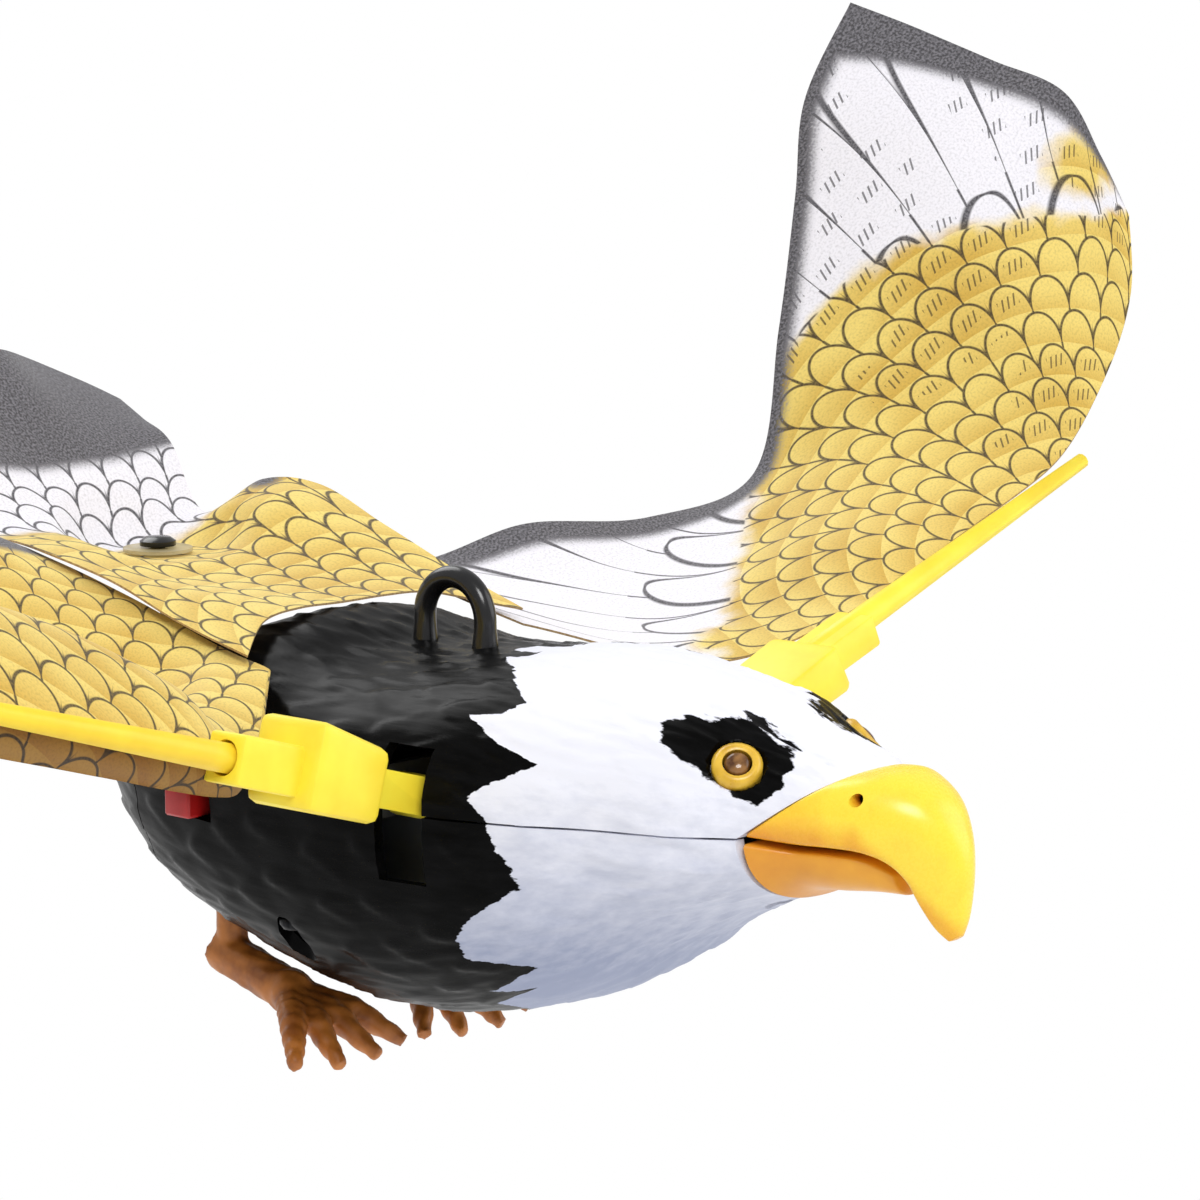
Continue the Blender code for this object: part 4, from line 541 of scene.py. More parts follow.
    def _off(self, tree: NodeTree, spot: NodeSocket, skew: float) -> NodeSocket:
        """How far off its feather's peak a place is: 0 at the peak, 1 at both sides."""
        skewed = add(tree, "Math", spot, skew, operation="POWER")
        signed = add(tree, "Math", skewed, 2.0, -1.0, operation="MULTIPLY_ADD")
        return add(tree, "Math", signed, operation="ABSOLUTE")

    def _scallops(
        self,
        tree: NodeTree,
        turn: NodeSocket,
        radius: NodeSocket,
        width: float,
        row: float,
        square: float,
        skew: float,
    ) -> tuple[NodeSocket, NodeSocket, NodeSocket]:
        """Rings of overlapping feather ends, each as wide as the last, with a drawn line round every end.

        Args:
            tree: node tree that takes them.
            turn: share of a turn round the print's centre.
            radius: distance from it, in millimetres.
            width: a feather's width.
            row: height of a ring.
            square: how square the ends are; 2 is an ellipse.
            skew: 1 for an even end, less to move its peak to one side.

        Returns:
            One on the line, the rise over a ring from 0 to 1, and how far across its feather a place is.
        """
        over = add(tree, "Math", radius, row, operation="DIVIDE")
        count = add(tree, "Math", over, operation="FLOOR")
        rise = add(tree, "Math", over, count, operation="SUBTRACT")
        spot = self._spot(tree, turn, count, width, row)
        off = self._off(tree, spot, skew)
        next_count = add(tree, "Math", count, 1.0, operation="ADD")
        after = self._off(tree, self._spot(tree, turn, next_count, width, row), 1.0)
        spent = add(tree, "Math", off, square, operation="POWER")
        left = add(tree, "Math", 1.0, spent, operation="SUBTRACT")
        left = add(tree, "Math", left, 0.015, operation="MAXIMUM")
        crown = add(tree, "Math", left, 1 / square, operation="POWER")
        crown = add(tree, "Math", crown, self.crown, operation="MULTIPLY")
        gap = add(tree, "Math", add(tree, "Math", rise, crown, operation="SUBTRACT"), operation="ABSOLUTE")
        lean = add(tree, "Math", add(tree, "Math", off, 2.0, operation="POWER"), left, operation="DIVIDE")
        steep = add(tree, "Math", lean, (self.crown * row * 2 / width) ** 2, 1.0, operation="MULTIPLY_ADD")
        away = add(tree, "Math", gap, add(tree, "Math", steep, operation="SQRT"), operation="DIVIDE")
        arc = add(tree, "MapRange", away, self.line_mm * 0.30 / row, self.line_mm * 0.66 / row, 1.0, 0.0)
        past = add(tree, "Math", rise, crown, operation="GREATER_THAN")
        side = add(tree, "MapRange", after, 1 - self.line_mm * 1.3 / width, 1 - self.line_mm * 0.6 / width)
        side = add(tree, "Math", side, past, operation="MULTIPLY")
        return add(tree, "Math", arc, side, operation="MAXIMUM"), rise, spot

    def _hatch(self, tree: NodeTree, rise: NodeSocket, spot: NodeSocket, wide: NodeSocket) -> NodeSocket:
        """Four short slanted pen strokes in the middle of the larger, outer feathers."""
        across = add(tree, "Math", rise, 0.22, spot, operation="MULTIPLY_ADD")
        stripe = add(tree, "Math", across, self.strokes, operation="MULTIPLY")
        stripe = add(tree, "Math", stripe, operation="FRACT")
        stroke = add(tree, "Math", stripe, self.stroke_share, operation="LESS_THAN")
        staggered = add(tree, "Math", spot, 0.30, rise, operation="MULTIPLY_ADD")
        tall = add(tree, "Math", staggered, 0.58, 0.17, operation="COMPARE")
        narrow = add(tree, "Math", spot, 0.50, 0.27, operation="COMPARE")
        outer = add(tree, "Attribute", out="Fac", attribute_name="hatch")
        some = add(tree, "Math", outer, wide, operation="GREATER_THAN")
        inside = add(tree, "Math", tall, narrow, operation="MULTIPLY")
        drawn = add(tree, "Math", stroke, some, operation="MULTIPLY")
        inside = add(tree, "Math", inside, drawn, operation="MULTIPLY")
        return add(tree, "Math", inside, self.stroke_ink, operation="MULTIPLY")


@dataclass(frozen=True)
class SatinBack:
    """The unprinted back of the satin: the eye sees a brownish cast, partly the print showing through and
    partly painted shade.
    """

    name: str = "polyester_satin_back"
    colour: str = "#b89c70"
    shade: str = "#987a54"
    weave_mm: float = 0.42
    weave_depth_mm: float = 0.05

    def build(self) -> Material:
        """Makes the material."""
        made, tree, shader = new_material(self.name)
        cut = add(tree, "UVMap", uv_map="cut")
        weave = add(tree, "TexNoise", into={"Vector": cut, "Scale": 1000 / self.weave_mm, "Detail": 2.0})
        colour = add(tree, "ValToRGB", weave, stops=((0.35, self.shade), (0.65, self.colour)))
        woven = {"Height": weave, "Strength": 0.35, "Distance": self.weave_depth_mm * MM}
        bump = add(tree, "Bump", into=woven)
        fill(shader, {"Base Color": colour, "Normal": bump, "Roughness": 0.8})
        return made


# Beak: glossy yellow above, duller orange below
UPPER_BEAK_PLASTIC = TwoToneBeak("misted_beak_abs", "#fcdc3c", "#f3b92a", "#dd8a1c")
LOWER_BEAK_PLASTIC = TwoToneBeak("orange_beak_abs", "#f4bc38", "#e8a52c", "#d58d26", roughness=0.32)
# Arms and rods: a waxy yellow that lets a little light in
LEMON = MouldedPlastic("lemon_polypropylene", "#fbe63f", "#f5d52e", roughness=0.42, translucent=0.05)
# The near rod's copy of it, darker and more golden: painted shade
NEAR_ROD_SHADED_YELLOW = MouldedPlastic("golden_polypropylene", "#f7d530", "#edc328", roughness=0.42, translucent=0.05)
# Eye rings: shiny gold
EYE_YELLOW = MouldedPlastic("gold_eye_abs", "#e3b83a", "#c99a24", roughness=0.28, flow_mm=2.5)
# Soft feet with blotched brown, and the opaque red knob
FOOT_BROWN = MouldedPlastic("brown_pvc", "#bd7430", "#8e4f1a", roughness=0.42, flow_mm=3.5)
SWITCH_RED = MouldedPlastic("red_acetal", "#b81a1a", "#8f1010", roughness=0.35)
# Pupils: dark amber acrylic, as shiny as glass
PUPIL = MouldedPlastic("amber_acrylic", "#8f6538", "#4c2a10", roughness=0.10, flow_mm=1.6)
# The ring and the stud: gloss black with a sharp highlight
RING_BLACK = MouldedPlastic("gloss_black_abs", "#101012", "#19191b", roughness=0.20)
# Works inside: plain mouldings, a green board, shiny sleeves on the cells and clear lamps
FRAME_GREY = MouldedPlastic("grey_abs_frame", "#5d5f63", "#4c4e52", roughness=0.5)
ACETAL = MouldedPlastic("white_acetal_gear", "#e3e2db", "#d3d1c8", roughness=0.42)
BOARD = MouldedPlastic("green_circuit_laminate", "#1f6b3c", "#17552f", roughness=0.45)
CELL_SLEEVE = MouldedPlastic("blue_cell_sleeve", "#2b4a86", "#223c70", roughness=0.35)
LAMP = MouldedPlastic("clear_epoxy_lamp", "#ded6b8", "#cfc6a2", roughness=0.12)
# Washer: thin nylon that the print shows through
FILM = MouldedPlastic("clear_nylon_washer", "#cdbf94", "#b9ab82", roughness=0.5, flow_mm=3.0, alpha=0.55)
# Bright pins and shafts, and dull dark screws
STEEL = TurnedSteel()
BLACKENED_STEEL = TurnedSteel("blackened_screw_steel", "#2c2c2e", "#1b1b1d", roughness=0.4)


Finish = MouldedPlastic | TwoToneBeak | TurnedSteel


def made_of(finish: Finish) -> Material:
    """A finish's material, built once."""
    return bpy.data.materials.get(finish.name) or finish.build()


# Modelling helpers


def deselect_all() -> None:
    """Leaves object mode tidy and nothing selected."""
    if bpy.context.object is not None and bpy.context.object.mode != "OBJECT":
        bpy.ops.object.mode_set(mode="OBJECT")
    bpy.ops.object.select_all(action="DESELECT")


def take(obj: Object) -> None:
    """Selects one object alone and makes it the active one."""
    deselect_all()
    obj.select_set(True)
    bpy.context.view_layer.objects.active = obj


def edit(obj: Object, *steps: Callable[[], object]) -> None:
    """Runs mesh operators on all of an object, in edit mode."""
    take(obj)
    bpy.ops.object.mode_set(mode="EDIT")
    for step in steps:
        bpy.ops.mesh.select_all(action="SELECT")
        step()
    bpy.ops.object.mode_set(mode="OBJECT")


def merge() -> None:
    """Welds vertices that share a place."""
    bpy.ops.mesh.remove_doubles(threshold=1e-6)


def face_out() -> None:
    """Turns all faces outwards."""
    bpy.ops.mesh.normals_make_consistent(inside=False)


def close_ends() -> None:
    """Fills every open end."""
    bpy.ops.mesh.fill_holes(sides=0)


def apply_modifier(obj: Object, kind: str, **settings: object) -> None:
    """Adds a modifier with its settings and applies it.

    Args:
        obj: object that takes it.
        kind: the modifier's type name.
        settings: its properties.
    """
    take(obj)
    modifier = obj.modifiers.new(kind.lower(), kind)
    for name, value in settings.items():
        setattr(modifier, name, value)
    bpy.ops.object.modifier_apply(modifier=modifier.name)


def work(obj: Object, operation: str, helpers: Sequence[Object]) -> None:
    """Cuts helpers out of an object, or joins them to it, all at once.

    Args:
        obj: object that is worked on.
        operation: DIFFERENCE or UNION.
        helpers: solids clear of each other; they are used up.
    """
    take(helpers[0])
    for helper in helpers[1:]:
        helper.select_set(True)
    if len(helpers) > 1:
        bpy.ops.object.join()
    apply_modifier(obj, "BOOLEAN", operation=operation, solver="EXACT", object=helpers[0])
    bpy.data.objects.remove(helpers[0], do_unlink=True)


def block(low: Vector, high: Vector) -> Object:
    """A helper box between two world points."""
    deselect_all()
    bpy.ops.mesh.primitive_cube_add(size=1.0, location=(low + high) / 2)
    obj = bpy.context.object
    obj.scale = [abs(b - a) for a, b in zip(low, high)]
    bpy.ops.object.transform_apply(location=True, rotation=True, scale=True)
    return obj


def rod(start: Vector, end: Vector, radius_mm: float, end_radius_mm: float = 0.0) -> Object:
    """A helper cylinder or cone between two world points."""
    deselect_all()
    along = end - start
    turn = Vector((0, 0, 1)).rotation_difference(along)
    bpy.ops.mesh.primitive_cone_add(
        vertices=48,
        radius1=radius_mm * MM,
        radius2=(end_radius_mm or radius_mm) * MM,
        depth=along.length,
        location=(start + end) / 2,
        rotation=turn.to_euler(),
    )
    bpy.ops.object.transform_apply(location=True, rotation=True, scale=True)
    return bpy.context.object


def formed(name: str, spots: np.ndarray) -> Object:
    """Lays a mesh grid over an array of places.

    Args:
        name: the piece's name.
        spots: bird coordinates, as rows by columns by three.

    Returns:
        The open sheet.
    """
    deselect_all()
    rows, columns = spots.shape[:2]
    bpy.ops.mesh.primitive_grid_add(x_subdivisions=rows - 1, y_subdivisions=columns - 1, size=2.0)
    sheet = bpy.context.object
    sheet.name = name
    i, j = grid_places(sheet, rows, columns)
    put(sheet, to_world(spots[i, j]))
    return sheet


def vertices_of(obj: Object) -> np.ndarray:
    """An object's vertices, as a table of world places."""
    flat = np.empty(len(obj.data.vertices) * 3, np.float32)
    obj.data.vertices.foreach_get("co", flat)
    return flat.reshape(-1, 3).astype(float)


def put(obj: Object, points: np.ndarray) -> None:
    """Moves an object's vertices to world places."""
    obj.data.vertices.foreach_set("co", points.astype(np.float32).ravel())
    obj.data.update()


def half_ring(count: int) -> tuple[np.ndarray, np.ndarray]:
    """Shares of the half width and of the height along half of a rounded section."""
    angle = np.linspace(0, math.pi, count)
    out = np.sign(np.cos(angle)) * np.abs(np.cos(angle)) ** (2 / ROUNDNESS)
    return out, np.abs(np.sin(angle)) ** (2 / ROUNDNESS)


def grid_places(sheet: Object, rows: int, columns: int) -> tuple[np.ndarray, np.ndarray]:
    """Row and column of each vertex of a fresh grid."""
    flat = vertices_of(sheet)
    return (
        np.rint((flat[:, 0] + 1) / 2 * (rows - 1)).astype(int),
        np.rint((flat[:, 1] + 1) / 2 * (columns - 1)).astype(int),
    )


def mark(obj: Object, name: str, values: np.ndarray) -> None:
    """Gives each vertex a number that the finish reads."""
    attribute = obj.data.attributes.new(name, "FLOAT", "POINT")
    attribute.data.foreach_set("value", values.astype(np.float32))


def dress(obj: Object, *finishes: Material) -> None:
    """Gives an object its materials in order."""
    obj.data.materials.clear()
    for made in finishes:
        obj.data.materials.append(made)


def smooth(obj: Object, degrees: float = 35.0) -> None:
    """Shades an object smooth, with sharp edges above an angle."""
    take(obj)
    bpy.ops.object.shade_smooth_by_angle(angle=math.radians(degrees))


def copy_of(node: Object) -> Object:
    """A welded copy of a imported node, free of its parent."""
    made = node.copy()
    made.data = node.data.copy()
    made.name = node.name + "_look"
    made.parent = None
    bpy.context.scene.collection.objects.link(made)
    edit(made, merge)
    return made


def hand_over(piece: Object, body: str, slot: Slot, *nodes: str) -> None:
    """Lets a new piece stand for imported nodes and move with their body."""
    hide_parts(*nodes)
    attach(piece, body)
    LOG.info("%s for %s: %d faces", piece.name, ", ".join(nodes), len(piece.data.polygons))


# Body


@dataclass
class Relief:
    """Feathers raised on the skin: pointed tips that lap over each other towards the tail, and fine barbs."""

    tip_mm: float = 9.0
    width_mm: float = 6.5
    lap: float = 0.92
    point: float = 1.4
    slant: float = 0.25
    warp_mm: float = 3.0
    warp_length_mm: float = 17.0
    wander_mm: float = 2.2
    wander_length_mm: float = 11.0
    barb_mm: tuple[float, float] = (13.0, 1.3)
    fine_barb_mm: tuple[float, float] = (6.0, 0.7)
    long_barb_mm: tuple[float, float] = (22.0, 3.2)
    black_depth_mm: float = 0.46
    white_depth_mm: float = 0.30
    barb_depth_mm: float = 0.16
    long_depth_mm: float = 0.42
    # Where the feathers deepen past the paint's edge, and fade out at the beak and at the tail's end
    paint_fade_mm: tuple[float, float] = (-2.0, 3.0)
    long_fade_mm: tuple[float, float] = (-1.0, 5.0)
    beak_fade_mm: tuple[float, float] = (0.3, 5.0)
    tail_fade_mm: tuple[float, float] = (0.6, 7.0)
    girth_mm: float = 27.0

    def at(self, spots: np.ndarray) -> np.ndarray:
        """Height of the relief, in millimetres, at places on the plain skin."""
        x, forward, height = spots[..., 0], spots[..., 1], spots[..., 2]
        # The noise's third axis only sets the two sides and each use of it apart
        side = np.where(x >= 0, 40.0, 0.0)
        angle = np.arctan2(height, np.abs(x))
        arc = angle * self.girth_mm
        warp = noise_at(forward / self.warp_length_mm, arc / self.warp_length_mm, side) * self.warp_mm
        row = (-forward + warp + np.abs(arc) * self.slant) / self.tip_mm
        count = np.floor(row)
        rise = row - count
        wander = noise_at(forward / self.wander_length_mm, arc / self.wander_length_mm, side + 9)
        wander = wander * self.wander_mm
        cell = (arc + wander) / self.width_mm + 0.5 * np.mod(count, 2)
        off = np.abs(cell - np.floor(cell) - 0.5) * 2
        end = self.lap * (1 - off**self.point)
        tips = rise * smoothstep(end - rise, 0.0, 0.16)
        length, width = self.barb_mm
        barbs = noise_at(forward / length, (arc + warp * 0.6) / width, side + 3)
        length, width = self.fine_barb_mm
        barbs += 0.6 * noise_at(forward / length, (arc + wander) / width, side + 5)
        paint = paint_depth(spots)
        black = 1 - smoothstep(paint, *self.paint_fade_mm)
        depth = self.white_depth_mm + (self.black_depth_mm - self.white_depth_mm) * black
        length, width = self.long_barb_mm
        long = noise_at(forward / length, (arc + forward * self.slant) / width, side + 7)
        long = long * self.long_depth_mm * smoothstep(paint, *self.long_fade_mm)
        slope = np.where(height >= 0, (FOREHEAD[0] - GAPE) / FOREHEAD[1], (THROAT[0] - GAPE) / -THROAT[1])
        seat = GAPE + slope * np.abs(height)
        near_beak = smoothstep(seat - forward, *self.beak_fade_mm)
        near_tail = smoothstep(forward - BODY_SECTIONS[0, 0], *self.tail_fade_mm)
        return (tips * depth + barbs * self.barb_depth_mm + long) * near_beak * near_tail


# The paint's edge: angle over the seam in degrees, and how far forward it lies
PAINT_EDGE = (
    (-90.0, 21.0),
    (-61.8, 22.8),
    (-56.0, 31.0),
    (-53.1, 24.9),
    (-48.6, 31.0),
    (-45.7, 34.9),
    (-40.6, 30.6),
    (-37.4, 27.1),
    (-32.5, 26.6),
    (-26.1, 29.5),
    (-21.9, 33.3),
    (-17.8, 37.4),
    (-13.6, 37.7),
    (-4.1, 35.4),
    (1.3, 33.6),
    (4.3, 32.1),
    (8.2, 32.7),
    (11.7, 36.1),
    (17.3, 39.9),
    (20.6, 33.6),
    (27.1, 26.5),
    (29.1, 30.7),
    (35.7, 33.1),
    (41.0, 29.7),
    (54.4, 22.5),
    (66.0, 17.0),
    (76.6, 21.7),
    (81.0, 14.0),
    (90.0, 11.7),
)

# The dark patch round the eye: forward and height
EYE_PATCH = (
    (52.5, 13.7),
    (55.3, 14.2),
    (57.9, 13.8),
    (58.6, 14.3),
    (61.2, 13.5),
    (66.0, 11.5),
    (69.4, 9.3),
    (69.6, 6.6),
    (67.6, 4.9),
    (65.4, 5.4),
    (63.3, 6.9),
    (60.5, 8.6),
    (56.6, 10.9),
    (54.3, 11.9),
)
# It spreads past this outline, and a strip down the middle of the head never has one
PATCH_GROWN_MM = 0.3
HEAD_STRIP_MM = 4.0
NO_PATCH = -9.0


def paint_depth(spots: np.ndarray) -> np.ndarray:
    """How far ahead of the paint's edge places on the skin are, in millimetres."""
    angle = np.degrees(np.arctan2(spots[..., 2], np.abs(spots[..., 0])))
    edge = np.interp(angle, [a for a, _ in PAINT_EDGE], [f for _, f in PAINT_EDGE])
    return spots[..., 1] - edge


def patch_depth(spots: np.ndarray) -> np.ndarray:
    """How far inside the eye patch places on the skin are, in millimetres."""
    point = spots[..., 1:3]
    nearest = np.full(point.shape[:-1], 1e9)
    inside = np.zeros(point.shape[:-1], bool)
    corners = np.array(EYE_PATCH)
    for start, end in zip(corners, np.roll(corners, -1, axis=0)):
        along = end - start
        share = np.clip(((point - start) @ along) / (along @ along), 0.0, 1.0)
        nearest = np.minimum(nearest, np.linalg.norm(point - start - share[..., None] * along, axis=-1))
        crosses = (start[1] > point[..., 1]) != (end[1] > point[..., 1])
        rise = end[1] - start[1]
        at = start[0] + (point[..., 1] - start[1]) / (rise if abs(rise) > 1e-9 else 1e-9) * along[0]
        inside ^= crosses & (point[..., 0] < at)
    depth = np.where(inside, nearest, -nearest)
    return np.where(np.abs(spots[..., 0]) > HEAD_STRIP_MM, depth + PATCH_GROWN_MM, NO_PATCH)


@dataclass
class Shells:
    """The two body shells and the hinged tail cap, as smooth moulded skins with raised feathers."""

    wall_mm: float = 1.6
    seam_mm: float = 0.3
    door_seam: float = -37.2
    columns: int = 141
    rows: tuple[int, int, int] = (230, 190, 60)
    sharp_degrees: float = 42.0
    cap_rows: int = 7
    cap_mm: float = 0.9
    screws: tuple[tuple[float, float], ...] = ((0.0, 60.8), (26.8, -5.0), (-26.8, -5.0))
    screw_head_mm: float = 2.4
    screw_seat_mm: float = 3.8
    screw_play_mm: float = 0.3
    column_wall_mm: float = 0.7
    eye_recess_mm: tuple[float, float, float] = (3.3, 3.9, 2.3)
    leg: tuple[float, float, float] = (13.0, -32.5, 2.5)
    slot: tuple[float, float, float, float] = (17.0, 25.0, -9.6, 8.9)
    slot_inside: float = 27.7
    beyond: float = 50.0
    # Forward of its foot and of its top, and the top's height; radius at both
    boss: tuple[float, float, float] = (-50.0, -61.0, 22.5)
    boss_radii: tuple[float, float] = (4.8, 3.2)
    switch_slot: tuple[tuple[float, float, float], tuple[float, float, float]] = (
        (-50.0, -24.6, -6.55),
        (-26.7, -16.5, -1.85),
    )

    def build(self, finish: Material) -> None:
        """Makes all three."""
        tail, head = BODY_SECTIONS[0, 0], BODY_SECTIONS[-1, 0]
        half = self.seam_mm / 2
        upper_rows, lower_rows, door_rows = self.rows
        upper = self._skin("upper_shell_look", 1, tail, head, upper_rows)
        self._boss(upper)
        work(upper, "DIFFERENCE", [self._beak_block(FOREHEAD), *self._slots()])
        lower = self._skin("lower_shell_look", -1, self.door_seam + half, head, lower_rows)
        work(lower, "UNION", self._columns())
        work(lower, "DIFFERENCE", [self._beak_block(THROAT), *self._slots(), *self._lower_holes()])
        door = self._skin("battery_door_look", -1, tail, self.door_seam - half, door_rows)
        for piece, body, node in (
            (upper, "bird_body", "upper_shell"),
            (lower, "bird_body", "lower_shell"),
            (door, "door", "battery_door"),
        ):
            edit(piece, merge, face_out)
            spots = to_bird(vertices_of(piece))
            mark(piece, "paint", paint_depth(spots))
            mark(piece, "patch", patch_depth(spots))
            dress(piece, finish)
            smooth(piece, self.sharp_degrees)
            hand_over(piece, body, Slot.BLACK, node)

    def _skin(self, name: str, up: int, start: float, end: float, rows: int) -> Object:
        """Makes one wall from a place along the body to another.

        Args:
            name: the piece's name.
            up: 1 above the seam, -1 below it.
            start: where it begins, in millimetres forward.
            end: where it ends.
            rows: vertices along it.

        Returns:
            The closed wall.
        """
        first, last = (np.interp(f, SKIN[:, 0], SKIN_PLACES) for f in (start, end))
        sections = through(BODY_SECTIONS, np.linspace(first, last, rows))
        if start == BODY_SECTIONS[0, 0]:
            share = np.sin(np.linspace(0.02, 0.94, self.cap_rows) * math.pi / 2)[:, None]
            cap = sections[0] * np.concatenate((np.ones_like(share), share, share, share), axis=1)
            cap[:, 0] -= self.cap_mm * (1 - share[:, 0] ** 2)
            sections = np.concatenate((cap, sections))
        out, over = half_ring(self.columns)
        reach = sections[:, 2 if up > 0 else 3]
        spots = np.stack(
            (
                sections[:, 1:2] * out[None],
                np.repeat(sections[:, 0:1], self.columns, axis=1),
                up * reach[:, None] * over[None],
            ),
            axis=-1,
        )
        normal = np.cross(np.gradient(spots, axis=0), np.gradient(spots, axis=1))
        normal /= np.maximum(np.linalg.norm(normal, axis=-1, keepdims=True), 1e-9)
        facing = np.sum(normal * spots * (1, 0, 1), axis=-1, keepdims=True)
        normal *= np.where(facing >= 0, 1.0, -1.0)
        spots = spots + normal * (Relief().at(spots) - self._eye_recess(spots))[..., None]
        spots[..., 2] += up * self.seam_mm / 2
        piece = formed(name, spots)
        edit(piece, face_out)
        apply_modifier(piece, "SOLIDIFY", thickness=self.wall_mm * MM, offset=-1.0)
        edit(piece, face_out)
        return piece

    def _eye_recess(self, spots: np.ndarray) -> np.ndarray:
        """Depth of the round recesses that the eyes are pressed into."""
        forward, height = EYE
        floor, rim, depth = self.eye_recess_mm
        x = float(body_side(forward, height))
        gap = (np.abs(spots[..., 0]) - x) ** 2 + (spots[..., 1] - forward) ** 2
        away = np.sqrt(gap + (spots[..., 2] - height) ** 2)
        return depth * (1 - smoothstep(away, floor, rim))

    def _boss(self, upper: Object) -> None:
        """Adds the sloping post that carries the tail stud."""
        foot, head, top = self.boss
        low = place(0, foot, body_skin(0, foot, True) - 1.3)
        work(upper, "UNION", [rod(low, place(0, head, top + 1.6), *self.boss_radii)])
        work(upper, "DIFFERENCE", [block(place(-20, head - 20, top), place(20, head + 20, top + 20))])

    def _beak_block(self, crown: tuple[float, float]) -> Object:
        """All in front of the slanted plane on which half of the beak is seated."""
        helper = block(place(-30, 0, 0), place(30, 1, 1))
        slope = (crown[0] - GAPE) / crown[1]
        spots = to_bird(vertices_of(helper))
        ahead = spots[:, 1] > 0.5
        height = np.where(spots[:, 2] > 0.5, 30.0, -1.0) * math.copysign(1, crown[1])
        spots[:, 1] = np.where(ahead, 130.0, GAPE + slope * height)
        spots[:, 2] = height
        put(helper, to_world(spots))
        edit(helper, face_out)
        return helper

    def _slots(self) -> list[Object]:
        """The slots in the shoulders that the wing arms move in."""
        back, front, low, high = self.slot
        made = []
        for side in Side:
            inside, outside = (side.value * x for x in (self.slot_inside, self.beyond))
            made.append(block(place(inside, back, low), place(outside, front, high)))
        return made

    def _columns(self) -> list[Object]:
        """The columns inside that the shell screws pass through."""
        made = []
        radius = self.screw_head_mm + self.column_wall_mm
        for x, forward in self.screws:
            seat = body_skin(x, forward, False) + self.screw_seat_mm
            made.append(rod(place(x, forward, seat + 1.5), place(x, forward, -1.0), radius))
        return made

    def _lower_holes(self) -> list[Object]:
        """Screw recesses, leg holes and the switch's slot."""
        made = []
        for x, forward in self.screws:
            seat = body_skin(x, forward, False) + self.screw_seat_mm
            low = place(x, forward, seat - 25)
            made.append(rod(low, place(x, forward, seat), self.screw_head_mm + self.screw_play_mm))
        x, forward, radius = self.leg
        low = body_skin(x, forward, False)
        for side in Side:
            below, within = (place(side.value * x, forward, low + over) for over in (-4, 6))
            made.append(rod(below, within, radius))
        made.append(block(*(place(*corner) for corner in self.switch_slot)))
        return made


Station = tuple[tuple[float, float], tuple[float, float], float]

# Upper beak: lower edge, crown, half width; lower beak: upper edge, keel, half width
UPPER_BEAK = (
    ((71.2, -0.6), (81.2, 9.2), 12.0),
    ((76.0, -0.7), (84.5, 8.2), 10.2),
    ((80.0, -1.0), (87.3, 6.4), 8.6),
    ((83.0, -2.2), (89.5, 3.8), 6.8),
    ((85.0, -4.5), (91.1, 0.2), 5.1),
    ((86.3, -7.8), (91.7, -4.2), 3.7),
    ((87.8, -10.8), (91.4, -9.0), 2.3),
    ((89.3, -12.6), (90.6, -11.8), 1.0),
)
LOWER_BEAK = (
    ((70.5, -1.6), (70.0, -8.2), 11.2),
    ((75.2, -1.8), (74.5, -7.8), 9.2),
    ((79.4, -2.4), (79.0, -7.4), 6.8),
    ((82.6, -4.4), (82.8, -7.4), 3.8),
)


